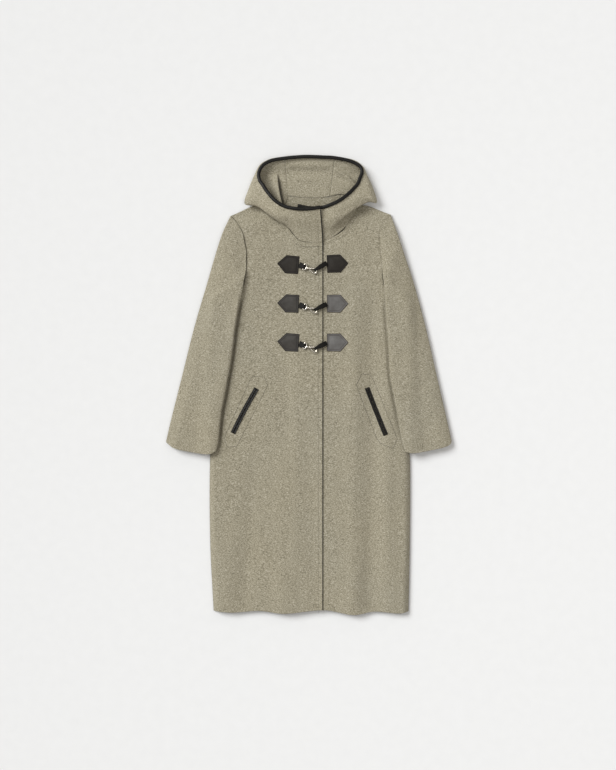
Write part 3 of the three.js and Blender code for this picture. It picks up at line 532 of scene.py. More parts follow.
def line_places(rows, x, y):
    """For each line a to b: how far a place is along it and beside it, both in millimetres."""
    ax, ay, bx, by, width, height = (per_line(column, x) for column in zip(*rows))
    length = np.hypot(bx - ax, by - ay)
    along = ((x - ax) * (bx - ax) + (y - ay) * (by - ay)) / length
    beside = ((x - ax) * (by - ay) - (y - ay) * (bx - ax)) / length
    return along, beside, length, width, height


def folds(x, y):
    """Sum of the large folds: height · ends · exp(-(beside / width)²)."""
    along, beside, length, width, height = line_places(FOLDS, x, y)
    ends = smooth(along, -40, 90) * (1 - smooth(along, length - 10, length + 60))
    return (height * ends * np.exp(-(beside / width) ** 2)).sum(0)


def creases(rows, x, y):
    """Sum of listed creases. Each wanders sideways by a slow wave, swells and thins along its length, and fades
    over the last third of each end."""
    along, beside, length, width, height = line_places(rows, x, y)
    number = per_line(range(len(rows)), x)
    share = along / length
    beside = beside + 0.22 * width * np.sin(5.1 * share + 1.7 * number)
    ends = smooth(share, -0.06, 0.33) * (1 - smooth(share, 0.62, 1.06))
    swell = 1 + 0.28 * np.sin(7.3 * share + 2.3 * number)
    return (height * ends * swell * np.exp(-(beside / width) ** 2)).sum(0)


FRONT_CREASES = [
    (-150, 395, -60, 372, 9, 0.65), (-128, 372, -40, 352, 8, -0.5), (-30, 372, 28, 362, 8, 0.6),
    (-176, 300, -150, 60, 13, -0.8), (-206, 190, -186, -20, 11, 0.65), (-222, 60, -214, -150, 12, -0.6),
    (-120, 150, -112, -120, 16, 0.5), (-66, 80, -58, -200, 15, -0.5), (-232, -160, -236, -420, 12, 0.6),
    (-120, -60, -128, -330, 17, 0.7), (-40, -250, -36, -520, 15, 0.55), (-140, -330, -146, -600, 14, 0.5),
    (-104, -380, -108, -610, 11, -0.5), (-205, -300, -212, -560, 13, 0.6),
    (74, 380, 96, 300, 12, -0.55), (140, 430, 150, 330, 14, 0.6), (176, 400, 168, 250, 12, -0.55),
    (58, 60, 62, -220, 15, -0.55), (126, 180, 132, -60, 13, 0.65), (188, 210, 190, -10, 11, 0.6),
    (232, 170, 228, -60, 11, -0.6), (80, -200, 78, -480, 16, 0.65), (54, -330, 60, -600, 12, -0.5),
    (186, -150, 188, -420, 13, 0.55), (250, -120, 252, -380, 10, 0.5), (232, -260, 236, -560, 12, -0.6),
    (138, -330, 140, -600, 12, 0.6), (96, -420, 98, -620, 10, 0.45),
    (-156, 506, -100, 466, 5, -4.4), (-114, 472, -72, 445, 4.5, -3.8),
]


# The cloth of the body is pushed down beside each sleeve: from where to where up the coat it deepens, its
# depth and its width. The line is the sleeve's inner edge, as (y, x).
CREVICE = {"right": (-200, -120, 10, 3.8), "left": (-190, -60, 4.5, 4.0)}
SLEEVE_SIDE = {
    "right": [(-179, -254), (-160, -249), (-77, -240), (-17, -228.7), (71, -212.7), (176, -198.7), (262, -182)],
    "left": [(-181, 265), (-162, 258), (-80, 243), (-20, 232), (30, 223), (120, 218), (190, 212), (262, 207.5)],
}


def from_shoulder(side, x, y):
    """Distance from the shoulder seam."""
    tip, neck = np.array(FRONT_EDGE[side][-1][::-1], float), np.array(FRONT_NECK[side][-1], float)
    run = neck - tip
    t = np.clip(((x - tip[0]) * run[0] + (y - tip[1]) * run[1]) / (run @ run), 0, 1)
    return np.hypot(x - tip[0] - t * run[0], y - tip[1] - t * run[1])


def inside_edge(table, side, x, y):
    """Distance inwards from a side edge, along X."""
    edge = table_at(table[side], y)
    return x - edge if side == "right" else edge - x


def front_top(side, x, y, fine=False):
    """Height of the top of a front: full on the chest, curled down at the side seam and the shoulder."""
    curl = np.sin(np.pi / 2 * np.clip(inside_edge(FRONT_EDGE, side, x, y) / SIDE_CURL, 0, 1))
    side_share = mix(1, curl, 1 - smooth(y, 225, 268))
    shoulder_share = smooth(from_shoulder(side, x, y), 0, SHOULDER_CURL)
    lap = LAP_RISE * smooth(x, -66, -32) if side == "right" else 0
    rise = CHEST_HEIGHT + folds(x, y) - EDGE_HEIGHT
    if fine:
        rise = rise + creases(FRONT_CREASES, x, y) * smooth(np.abs(x - 4), 36, 60)
        low, high, depth, width = CREVICE[side]
        beside = inside_edge(SLEEVE_SIDE, side, x, y) - 1
        rise = rise - depth * np.exp(-(beside / width) ** 2) * (1 - smooth(y, 215, 245)) * smooth(y, low, high)
    return EDGE_HEIGHT + rise * side_share * shoulder_share + lap


print(len(FOLDS), "large folds and", len(FRONT_CREASES), "creases on the fronts")

# %% [markdown]
# ## The two fronts
# Each front is one panel. The wearer's right one laps over the left by 67 mm and is top-stitched 10 mm from
# its edge. The edges are turned in, so they are round, not cut square: the last millimetre and a half of
# both faces bends towards the middle of the cloth. At the side seam front and back share one round fold.

# %% Make the fronts
STITCH_SINK, LAP_SINK = 1.0, 0.5
ALLOWANCE = np.array([0.7, 1.4, 2.4])


def rounded(distance, radius):
    """How far a face has dropped at a distance from the edge: a quarter circle of that radius."""
    left = np.clip(1 - distance / radius, 0, 1)
    return radius * (1 - np.sqrt(1 - left ** 2))


def front_outline(side):
    edge_x = LAP_EDGE_X if side == "right" else UNDERLAP_EDGE_X
    table, neck = FRONT_EDGE[side], FRONT_NECK[side]
    corner_x, (tip_y, tip_x) = table[0][1], table[-1]
    top = by_length([(tip_x, tip_y)] + neck[::-1])

    def bottom(u):
        x = mix(corner_x, edge_x, u)
        return np.stack([x, table_at(HEM, x)], -1)

    def start(v):
        y = mix(table_at(HEM, np.full_like(v, corner_x)), tip_y, v)
        return np.stack([np.where(v == 0, corner_x, table_at(table, y)), y], -1)

    def end(v):
        y = mix(table_at(HEM, np.full_like(v, edge_x)), neck[0][1], v)
        return np.stack([np.full_like(v, edge_x), y], -1)
    return patch(bottom, top, start, end)


def away(grid, line):
    """Distance of each point of a grid from a line of points of the same grid, in plan."""
    return np.linalg.norm(grid[..., :2] - line[..., :2], axis=-1)


def make_front(side):
    outline = front_outline(side)
    across = np.unique(np.r_[shares(300, 3.4), 1 - np.arange(7, 14, 0.8) / 300])
    up = np.unique(np.r_[shares(1060, 3.6), 1 - np.arange(7, 15, 0.9) / 1060])
    flat = outline(across[None, :], up[:, None])
    sewn_on = 0.02 + smooth(flat[:, :1, 1:], 250, 275)
    reach = unit(flat[:, :1] - flat[:, 2:3]) * sewn_on
    flat = np.concatenate([flat[:, :1] + reach * ALLOWANCE[::-1, None], flat], 1)
    reach = unit(flat[-1:] - flat[-3:-2])
    flat = np.concatenate([flat, flat[-1:] + reach * ALLOWANCE[:, None, None]])
    x, y = flat[..., 0], flat[..., 1]
    lines = {"side": flat[:, 3:4], "edge": flat[:, -1:], "hem": flat[:1], "top": flat[-4:-3]}
    under = np.zeros(flat.shape[:2])
    under[:-3, :3] = ALLOWANCE[::-1] * sewn_on[..., 0] / ALLOWANCE[-1]
    under[-3:] = np.maximum(under[-3:], ALLOWANCE[:, None] / ALLOWANCE[-1])
    top = front_top(side, x, y, fine=True)
    at_side, at_edge, at_hem, at_top = (away(flat, lines[name]) for name in ("side", "edge", "hem", "top"))
    seam = 1 - smooth(y, 240, 268)
    low = top - CLOTH
    if side == "right":
        top = top - LAP_SINK * np.exp(-((at_edge - 10) / 1.3) ** 2) * (y < 392)
    neck_part = smooth(from_shoulder(side, x, y), 20, 60)
    top = top - STITCH_SINK * np.exp(-((at_top - 11) / 1.4) ** 2) * neck_part
    free = np.minimum(at_hem, at_edge)
    outer = top - rounded(free, EDGE_ROUND) - rounded(at_side, CLOTH - 0.1) * seam
    armhole = at_side / np.maximum(1 - seam, 0.01)
    groove = 2.2 if side == "right" else 0.15
    outer = outer - groove * rounded(armhole, 1.2) - 0.6 * rounded(at_top, 1.2) - 2 * under ** 2
    inner = low + rounded(free, EDGE_ROUND)
    outer = np.maximum(outer, inner + 0.05)
    points, faces = shell(np.dstack([flat, outer]), np.dstack([flat, inner]))
    return add_piece("wool_front_" + side, points, faces, WOOL, ["front_" + side]), flat


front_pieces, front_flat = {}, {}
for side in ("right", "left"):
    front_pieces[side], front_flat[side] = make_front(side)
    print(front_pieces[side].name, len(front_pieces[side].data.polygons), "faces")

# %% [markdown]
# ## The back
# The back lies under everything. Only its hem and, through the face opening, a strip of its inside below
# the neck seam show. It rests flat on the surface, so its underside stays flat and only its edges round up.

# %% Make the back


def make_back():
    right, left = BACK_EDGE["right"], BACK_EDGE["left"]

    def bottom(u):
        x = mix(right[0][1], left[0][1], u)
        return np.stack([x, table_at(HEM, x) + 4], -1)

    def side_edge(table):
        def at(v):
            y = mix(table_at(HEM, np.full_like(v, table[0][1])) + 4, table[-1][0], v)
            return np.stack([np.where(v == 0, table[0][1], table_at(table, y)), y], -1)
        return at
    top = by_length([right[-1][::-1]] + BACK_NECK + [left[-1][::-1]])
    outline = patch(bottom, top, side_edge(right), side_edge(left))
    flat = outline(shares(540, 9)[None, :], shares(1130, 9)[:, None])
    at_side = np.minimum(away(flat, flat[:, :1]), away(flat, flat[:, -1:]))
    at_hem = away(flat, flat[:1])
    low = rounded(at_side, CLOTH - 0.2) + rounded(at_hem, EDGE_ROUND)
    high = CLOTH - rounded(at_hem, EDGE_ROUND)
    points, faces = shell(np.dstack([flat, high]), np.dstack([flat, np.minimum(low, high - 0.05)]))
    return add_piece("wool_back", points, faces, WOOL, ["back"])


back_piece = make_back()
print(back_piece.name, len(back_piece.data.polygons), "faces")

# %% [markdown]
# ## The sleeves
# A sleeve is cut as one piece and sewn into a tube. Lying down it flattens to two layers with a round fold
# at each edge, and it climbs onto the front near the armhole. Its rings are squared-off ovals, (cos, sin)
# of the way round, each to the power 2 / 2.7, laid over a patch between armhole, cuff and the two folds.

# %% Make the sleeves
SLEEVE_HEIGHT, SLEEVE_HEIGHT_ON_FRONT = 23.0, 13.0
SLEEVES = {
    "right": {
        "armhole": [(-182, 262), (-179.6, 280), (-172.3, 320), (-171, 360), (-178.8, 412), (-197.4, 448),
                    (-215, 467)],
        "inner": [(-182, 262), (-198.7, 176), (-212.7, 71), (-228.7, -17), (-240, -77), (-249, -160),
                  (-254, -179)],
        "outer": [(-215, 467), (-236, 422.8), (-257.8, 356.8), (-277, 290.8), (-315.6, 158.8),
                  (-348.6, 26.8), (-381.6, -105), (-393, -155)],
        "cuff": [(-254, -179), (-272, -187.5), (-335, -180), (-372, -171), (-393, -155)],
    },
    "left": {
        "armhole": [(207.5, 262), (206, 280), (201.4, 320), (196.4, 387), (193.4, 422), (207.4, 452),
                    (225, 471)],
        "inner": [(207.5, 262), (212, 190), (218, 120), (223, 30), (232, -20), (243, -80), (258, -162),
                  (265, -181)],
        "outer": [(225, 471), (243, 422.8), (264.7, 356.8), (286.7, 290.8), (322.4, 158.8), (352.7, 26.8),
                  (383, -105), (393.5, -152)],
        "cuff": [(265, -181), (284, -185.5), (333, -178), (374, -168.5), (389, -161.5), (393.5, -152)],
    },
}
SLEEVE_CREASES = {
    "right": [
        (-222, 396, -196, 250, 13, 0.9), (-262, 300, -226, 170, 14, -0.95), (-290, 210, -236, 120, 12, 0.9),
        (-300, 140, -240, 60, 10, -0.75), (-244, 70, -318, 20, 11, 0.8), (-330, 60, -268, -10, 10, -0.65),
        (-252, -30, -330, -90, 13, 0.75), (-360, -20, -300, -130, 11, -0.65), (-290, -60, -276, -170, 12, 0.65),
        (-348, -90, -352, -165, 10, 0.6), (-196, 420, -186, 330, 9, -0.65),
    ],
    "left": [
        (236, 400, 214, 250, 13, 0.8), (266, 320, 236, 180, 15, -1), (296, 220, 240, 130, 12, 0.8),
        (306, 120, 244, 70, 10, -0.7), (248, 60, 322, 0, 11, 0.75), (336, 20, 276, -40, 10, -0.65),
        (262, -60, 336, -110, 12, 0.7), (362, -60, 318, -150, 11, -0.65), (300, -90, 296, -172, 12, 0.65),
        (220, 230, 226, 90, 8, 0.6), (206, 430, 208, 340, 9, -0.6),
    ],
}


# How much a sleeve stands over the front at the armhole, and how much it swells beside the body
ARMHOLE_RISE = {"right": 3.8, "left": 0.0}
INNER_SWELL = {"right": 4.0, "left": 1.5}
OUTER_THIN = {"right": 7.0, "left": 4.5}


def climb_at(side, x, y):
    """0 beside the front and 1 on it."""
    return smooth(inside_edge(CLIMB_LINE, side, x, y), -28, 0)


def under_sleeve(side, x, y):
    """Height of what carries the sleeve: the surface, the back's edge, then the front."""
    on_back = smooth(inside_edge(BACK_EDGE, side, x, y), -44, -22)
    back = CLOTH + SEAM_GAP
    return on_back * back + climb_at(side, x, y) * (CHEST_HEIGHT + folds(x, y) + LYING_GAP - back)


def make_sleeve(side):
    edges = {name: by_length(points) for name, points in SLEEVES[side].items()}
    outline = patch(edges["armhole"], edges["cuff"], edges["inner"], edges["outer"])
    v = np.unique(np.r_[shares(650, 3.6), 1 - np.arange(30, 37, 0.9) / 650])[:, None]
    angle = 2 * np.pi * np.arange(112)[None, :] / 112
    crisp = mix(2 / 2.7, 0.52, smooth(-np.cos(angle), 0, 0.4))
    power = mix(0.28, crisp, smooth(v, 0, 0.12))
    cos, sin = (np.sign(f) * np.abs(f) ** power for f in (np.cos(angle), np.sin(angle)))
    width = np.linalg.norm(outline(np.zeros(1), v) - outline(np.ones(1), v), axis=-1)
    to_cuff = (1 - v) * 650

    def skin(wall):
        flat = outline(0.5 + cos * (0.5 - wall / width), v + 0 * angle)
        x, y = flat[..., 0], flat[..., 1]
        base = under_sleeve(side, x, y)
        at_seam = np.maximum(front_top(side, x, y) - base, 2 * CLOTH + 2)
        free = mix(SLEEVE_HEIGHT, SLEEVE_HEIGHT_ON_FRONT, climb_at(side, x, y))
        swell = INNER_SWELL[side] * (1 - smooth(0.5 + cos / 2, 0.08, 0.5)) * smooth(v, 0.02, 0.2)
        swell = swell - OUTER_THIN[side] * smooth(0.5 + cos / 2, 0.78, 1) * smooth(v, 0.04, 0.25)
        height = mix(at_seam, free, smooth(v, 0, 0.16)) + swell
        level = np.where(sin < 0, np.maximum(sin * 1.25, -1), sin)
        z = base + height / 2 + (height / 2 - wall) * level
        rise = ARMHOLE_RISE[side]
        z = z + rise * smooth(sin, 0, 0.5) * (1 - smooth(v, 0.01, 0.14)) * (1 - rounded(v * 650, 2) / 2)
        crease = creases(SLEEVE_CREASES[side], x, y) * smooth(v, 0.02, 0.14)
        z = z + crease * smooth(sin, 0.25, 0.9) - 0.25 * crease * smooth(-sin, 0.1, 0.5) * (base > 4)
        return np.dstack([flat, z])
    hem_round = rounded(to_cuff, EDGE_ROUND)
    points, faces = shell(skin(hem_round), skin(CLOTH - np.minimum(hem_round, CLOTH / 2 - 0.05)), True)
    around = np.broadcast_to(angle / (2 * np.pi) * 2.1 * width, (len(v), 112))
    flat = np.stack([around, np.broadcast_to(v * 650, around.shape)], -1).reshape(-1, 2)
    return add_piece("wool_sleeve_" + side, points, faces, WOOL, ["sleeve_" + side],
                     flat=np.tile(flat, (2, 1)))


sleeve_pieces = {side: make_sleeve(side) for side in ("right", "left")}
for piece in sleeve_pieces.values():
    print(piece.name, len(piece.data.polygons), "faces")

# %% [markdown]
# ## The hood
# The hood has two sides and a middle strip. Spread open, each side leaves the leather binding, rises a
# little, turns over a fold at the outside and comes back underneath to the neck seam. So each piece is a
# row of sections (binding, crest, fold, tuck, neck) joined by smooth lines both ways. A point given with
# None for its height lies on what is under it.

# %% Make the hood
BINDING_HALF_WIDTH, BINDING_HALF_HEIGHT = 4.9, 3.7
HOOD = {
    "right": [
        [(31, 487, 55.8), (33.5, 455, 47), (36.5, 420, 31), (37.8, 393.2, 20.8)],
        [(2, 482.5, 58), (2, 450, 47), (1, 420, 31), (0, 394.6, 20.6)],
        [(-33, 482.5, 58), (-34, 450, 45), (-32, 424, 30), (-29, 403, 20.6)],
        [(-67, 490, 54), (-71, 445, 32), (-68, 443, 23), (-62, 442.5, None)],
        [(-93.5, 507, 50.4), (-106, 466, 34), (-98, 476, None), (-92, 475.5, None)],
        [(-117.5, 536, 42.6), (-141, 491, 30), (-128, 505, None), (-117, 499, None)],
        [(-125.5, 549.5, 39), (-176, 500, 21), (-160, 515, None), (-119.5, 507, None)],
        [(-134.5, 563, 34), (-165, 541, 15), (-151, 540, None), (-111, 517, None)],
        [(-137, 583, 29), (-149, 579, 15), (-136, 572, None), (-98, 521.5, None)],
        [(-127.5, 603, 25.5), (-134.5, 607, 12.5), (-124, 596, 2), (-77, 494, 4)],
        [(-105, 617, 23), (-107, 623.5, 10.5), (-101, 609, 3), (-68, 495, 4)],
        [(-67, 624.4, 21.5), (-67.5, 630.5, 9), (-65.5, 615, 3.5), (-57.5, 523.4, None)],
    ],
    "left": [
        [(-29, 491.6, 46), (-29, 455, 35), (-29, 422, 20.5), (-29, 400.6, 15.8)],
        [(5, 485.5, 47.5), (5, 452, 38.5), (5, 420, 24.5), (5, 396.6, 16.8)],
        [(37, 487, 48.5), (37, 450, 40), (37, 425, 26), (37, 399.6, 17)],
        [(58, 493.5, 51.5), (68, 440, 36), (66, 430, 27), (63.6, 407.6, 17)],
        [(86, 507.5, 49.5), (97, 461, 40), (92, 462, 24), (99.6, 436, 17)],
        [(114, 530, 44.5), (128, 484, 37), (119, 491, 20), (119, 468.7, 16)],
        [(124.4, 541.6, 41), (163, 503, 29), (148, 514, None), (136, 493, None)],
        [(133, 551.4, 39), (187, 503, 21), (172, 517, None), (139, 499.5, None)],
        [(141, 570, 33.5), (178, 540, 15), (164, 540, None), (128, 513, None)],
        [(146, 586, 29), (160, 580, 15), (147, 573, None), (114, 520, None)],
        [(142, 600, 26), (148, 604, 12.5), (136, 595, 2), (102, 525, None)],
        [(119.5, 614.5, 23.5), (122.5, 621.5, 10.5), (114, 607, 3), (86, 526.6, None)],
        [(72, 625.6, 21.5), (72.5, 631, 9), (70, 615, 3.5), (58.5, 521.4, None)],
    ],
    "centre": [
        [(-66.6, 624.4, 21.5), (-67.1, 630.5, 9), (-65.1, 615, 3.5), (-57.1, 523.3, None)],
        [(-21, 628.8, 20.5), (-21, 633.5, 7), (-20, 618, 3.5), (-18, 518.2, None)],
        [(35, 628, 20.5), (35, 633.3, 7), (34, 618, 3.5), (30, 517.4, None)],
        [(71.6, 625.6, 21.5), (72.1, 631, 9), (69.6, 615, 3.5), (58.1, 521.3, None)],
    ],
}
HOOD_CREASES = [
    (-112, 600, -100, 545, 5, -2.6), (-150, 520, -96, 500, 8, 1.5), (-118, 500, -70, 468, 7, -1.2),
    (-70, 470, -30, 448, 9, 1.2), (118, 500, 84, 462, 7, -1.4), (150, 524, 100, 486, 8, 1.4),
    (62, 470, 96, 440, 7, 1.0), (10, 470, 34, 430, 8, -0.8),
]
INSIDE_CREASES = [
    (-80, 592, 84, 592, 6, -1.5), (-60, 606, 70, 606, 7, 1.2), (-50, 572, 62, 570, 12, 1.1),
    (-34, 552, 46, 546, 12, -0.9), (64, 597, 108, 582, 5, 4.2), (96, 588, 136, 554, 6, 5.0),
    (78, 580, 112, 556, 7, -1.8), (-62, 560, -50, 528, 6, 1.0), (52, 556, 66, 528, 6, -1.0),
    (-118, 590, -100, 560, 7, 1.6),
]
LAYERED_FOLDS = [(-87, 592, -69, 484, 15, 23), (62, 600, 136, 550, 12, 8)]
LAYERED_BOWS = (3, -5)


def layered(x, y):
    """Folds that lie over their own cloth: each swells softly on its right-hand side, drops sharply on the other,
    and grows taller along its length. Also the share of painted shade, darkest in the gap beside the first fold."""
    along, beside, length, width, height = line_places(LAYERED_FOLDS, x, y)
    share = np.clip(along / length, 0, 1)
    off = beside - per_line(LAYERED_BOWS, x) * np.sin(np.pi * share)
    swell = np.exp(-(off / np.where(off > 0, width, 0.8)) ** 2)
    gap = np.exp(-((off + 3.4) / 2.0) ** 2)
    start = smooth(along / length, 0, 0.3)
    # Share of painted shade, darkest just beside the first fold's drop.
    core = np.exp(-((off + 2.0) / mix(1.6, 3.2, share)) ** 2) * smooth(along / length, 0.05, 0.25)
    rise = (0.35 + 0.75 * share) * height * swell - 3.2 * gap
    return (start * rise).sum(0), core[0]


def below_neck(side, x, y):
    """Distance below the shoulder line and neck seam, positive on the front."""
    tip_y, tip_x = FRONT_EDGE[side][-1]
    neck_x, neck_y = FRONT_NECK[side][-1]
    t = (x - tip_x) / (neck_x - tip_x)
    seam = sorted(FRONT_NECK[side])
    return np.where(t < 1, mix(tip_y, neck_y, t), table_at(seam, x)) - y


def under_hood(side, x, y):
    """Height of what carries the hood's lower layer: the surface, or the front's top."""
    below = below_neck(side, x, y)
    onto = front_top(side, x, y + np.minimum(below, 0)) + LYING_GAP
    return onto * np.where(below > 0, 1, smooth(below, -22, 0))


def hood_sections(side, v):
    """The five points of each section at shares v of the way from the first row to the last."""
    carrier = "right" if side == "centre" else side
    rows = np.array([[[c if c is not None else np.nan for c in p] for p in row] for row in HOOD[side]])
    flat = under_hood(carrier, rows[..., 0], rows[..., 1])
    rows[..., 2] = np.where(np.isnan(rows[..., 2]), flat, rows[..., 2])
    place = v * (len(rows) - 1)
    i = np.minimum(place.astype(int), len(rows) - 2)
    t = (place - i)[:, None, None]
    near = [rows[np.clip(i + k, 0, len(rows) - 1)] for k in (-1, 0, 1, 2)]
    leave, arrive = (near[2] - near[0]) / 2, (near[3] - near[1]) / 2
    at = mix(near[1], near[2], t * t * (3 - 2 * t)) + leave * t * (1 - t) ** 2 - arrive * t * t * (1 - t)
    ring, fold, tuck, neck = at.transpose(1, 0, 2)
    in_front = (1 - smooth(place, 2.0, 3.4))[:, None] * (side != "centre")
    wing = (smooth(place, 2.6, 4.0) * (1 - smooth(place, 7.0, 9.0)))[:, None] * (side != "centre")
    crest = mix(ring, fold, 0.66 + 0.12 * wing)
    crest[:, 2:] = mix(ring[:, 2:], fold[:, 2:], 0.3 + 0.32 * in_front)
    out = unit(crest - ring)
    flat_part = np.hypot(out[:, 0], out[:, 1]) / BINDING_HALF_WIDTH
    reach = 1 / np.hypot(flat_part, out[:, 2] / BINDING_HALF_HEIGHT) + 0.1
    return np.stack([ring + out * reach[:, None], crest, fold, tuck, neck])


def make_hood(side, width):
    carrier = "right" if side == "centre" else side
    v = np.linspace(0, 1, 44)
    if side != "centre":
        near_edge = np.arange(7, 13.2, 0.9) / width
        v = np.unique(np.r_[shares(width, 2.4, True, False), near_edge * (side == "right")])
    u = np.linspace(0, 1, 105)
    outer = spline(hood_sections(side, v), u * 4).transpose(1, 0, 2)
    x, y, z = outer.transpose(2, 0, 1)
    low = np.where(u > 0.55, np.minimum(under_hood(carrier, x, y), z + 6), 0)
    on_top = (1 - smooth(u, 0.42, 0.5))[None, :]
    crease = creases(HOOD_CREASES, x, y)
    outer[..., 2] = np.maximum(z, np.maximum(low, 0)) + crease * on_top
    along, over = np.gradient(outer, axis=1), np.gradient(outer, axis=0)
    turn = -1 if side == "left" else 1
    inwards = unit(np.cross(along, over)) * turn * CLOTH
    inner = outer + inwards
    lying = outer[..., 2] < CLOTH
    inner[..., 2] = np.where(lying, np.maximum(inner[..., 2], outer[..., 2] + 0.8 * CLOTH), inner[..., 2])
    x, y = outer[..., 0], outer[..., 1]
    lower = smooth(u, 0.52, 0.66)[None, :] * smooth(y, 478, 490)
    roll = 7.5 * smooth(u, 0.5, 0.62)[None, :] * smooth(y, 580, 612)
    outer[..., 2] += roll
    inner[..., 2] += roll
    lying_fold, deep = layered(x, y)
    inner[..., 2] += (creases(INSIDE_CREASES, x, y) + lying_fold) * lower
    if side != "centre":
        drop = rounded(away(outer, outer[:1]), EDGE_ROUND)[..., None]
        outer, inner = outer + inwards * drop / CLOTH, inner - inwards * drop / CLOTH
    if side == "right":
        channel = LAP_SINK * np.exp(-((away(outer, outer[:1]) - 10) / 1.3) ** 2)[..., None]
        outer = outer + inwards / CLOTH * channel * (1 - smooth(v, 0.05, 0.09))[:, None, None]
    seams = [outer[-1:]] if side != "centre" else [outer[:1], outer[-1:]]
    at_seam = np.min([away(outer, line) for line in seams], 0)
    inner = inner - inwards / CLOTH * 0.4 * rounded(at_seam, 1.5)[..., None]
    points, faces = shell(outer, inner)
    flat = np.dstack(np.broadcast_arrays(v[:, None] * width, u[None, :] * 260)).reshape(-1, 2)
    # Painted shade on the inner face, in the gap beside the fold.
    painted_gap_shade = np.concatenate([np.zeros(deep.size), (deep * lower).ravel()])
    piece = add_piece("wool_hood_" + side, points, faces, HOOD_WOOL_PAINTED_LIGHTER, ["hood_" + side], rim=painted_gap_shade,
                      flat=np.tile(flat, (2, 1)))
    return piece, v * width, outer, inner


hood_pieces, hood_grid = {}, {}
for side, width in (("right", 330), ("left", 350), ("centre", 130)):
    hood_pieces[side], *hood_grid[side] = make_hood(side, width)
    print(hood_pieces[side].name, len(hood_pieces[side].data.polygons), "faces")

# %% [markdown]
# ## Leather binding and edging
# A strip of leather is folded round the raw edge of the face opening, and a thinner one finishes the front edge
# from the binding's lapped end down to the hem. Both are a flat oval carried along the edge.

# %% Bind the edges
FACE_MIDDLE = np.array([5, 560, 46])


def make_binding(side):
    crown = (4.6 if side == "right" else 5.4, 629.3, 20.5)
    rings = [row[0] for row in HOOD[side]] + [HOOD["centre"][1 if side == "right" else 2][0], crown]
    path = by_length(rings)(np.linspace(0, 1, 210))
    across = path - FACE_MIDDLE
    across[:, 2] = -6
    points, faces = sweep(path, across, BINDING_HALF_WIDTH, BINDING_HALF_HEIGHT, 28, 0.86)
    piece = add_piece("leather_binding_" + side, points, faces, BINDING_LEATHER, ["binding_" + side],
                      "dark_leather")
    return piece, path, unit(across)


bindings = {side: make_binding(side) for side in ("right", "left")}


def make_edging():
    """Down the hood's front edge and the lap's edge to the hem."""
    hood_edge = (hood_grid["right"][1] + hood_grid["right"][2])[0, 6::6] / 2
    y = np.linspace(391, table_at(HEM, np.array([LAP_EDGE_X]))[0] + 1, 240)
    x = np.full_like(y, LAP_EDGE_X)
    lap = np.stack([x, y, front_top("right", x, y) - CLOTH / 2], -1)
    path = np.concatenate([hood_edge[hood_edge[:, 1] > 394], lap]) + (0.5, 0, 0)
    half = mix(0.8, 1.6, smooth(path[:, 1], 330, 400))
    points, faces = sweep(path, np.array([1.0, 0, 0]), half, half + 0.3, 16, 0.8)
    return add_piece("leather_front_edging", points, faces, TRIM_LEATHER, slot="dark_leather")


edging = make_edging()
print("binding length", round(sum(np.linalg.norm(np.diff(b[1], axis=0), axis=1).sum() for b in
                                  bindings.values())), "mm")

# %% [markdown]
# ## Pointed leather tabs
# Each fastening ends in a pair of thick pointed patches. The hide is cut, its edges are skived round and
# painted, a crease line is pressed 6 mm in, and it is sewn down near the edge. The height over the patch is
# a function of the distance to the nearest edge, so the round edge, the stitch channel and the crease are
# all one sum.

# %% Make the tabs
LEATHER = 2.2
ROWS = [
    {"y": 337.4, "drop": 5.5, "slant": -0.375, "strap_rise": -0.5, "turn": (-0.09, 0.035),
     "shift": (-5.0, -2.2)},
    {"y": 225.6, "drop": 3.5, "slant": -0.35, "strap_rise": -1.5, "turn": (-0.045, 0.0),
     "shift": (0, 0)},
    {"y": 118.8, "drop": 3.5, "slant": -0.35, "strap_rise": -1.5, "turn": (-0.075, 0.0),
     "shift": (0, 0)},
]
TAB = {"right": {"base": -27.4, "shoulder": -63, "tip": -86, "half": 24.4},
       "left": {"base": 50, "shoulder": 87, "tip": 108, "half": 24.2}}


def tab_corners(side, row):
    """Corners of a tab, anticlockwise, turned about its middle as it was sewn on."""
    t = TAB[side]
    half = t["half"]
    corners = np.array([(t["base"], -half), (t["shoulder"], -half - 0.6), (t["tip"], -1.2), (t["tip"], 1.2),
                        (t["shoulder"], half + 0.6), (t["base"], half)])
    turn = row["turn"][side == "left"]
    middle = np.array([(t["base"] + t["shoulder"]) / 2, 0])
    spin = np.array([[np.cos(turn), np.sin(turn)], [-np.sin(turn), np.cos(turn)]])
    return (corners - middle) @ spin + middle + (0, row["y"] + row["shift"][side == "left"])


def edge_distance(flat, corners):
    """Distance to the nearest side of a convex outline."""
    run = np.roll(corners, -1, 0) - corners
    offset = flat[..., None, :] - corners
    cross = run[:, 0] * offset[..., 1] - run[:, 1] * offset[..., 0]
    return (np.abs(cross) / np.linalg.norm(run, axis=-1)).min(-1)


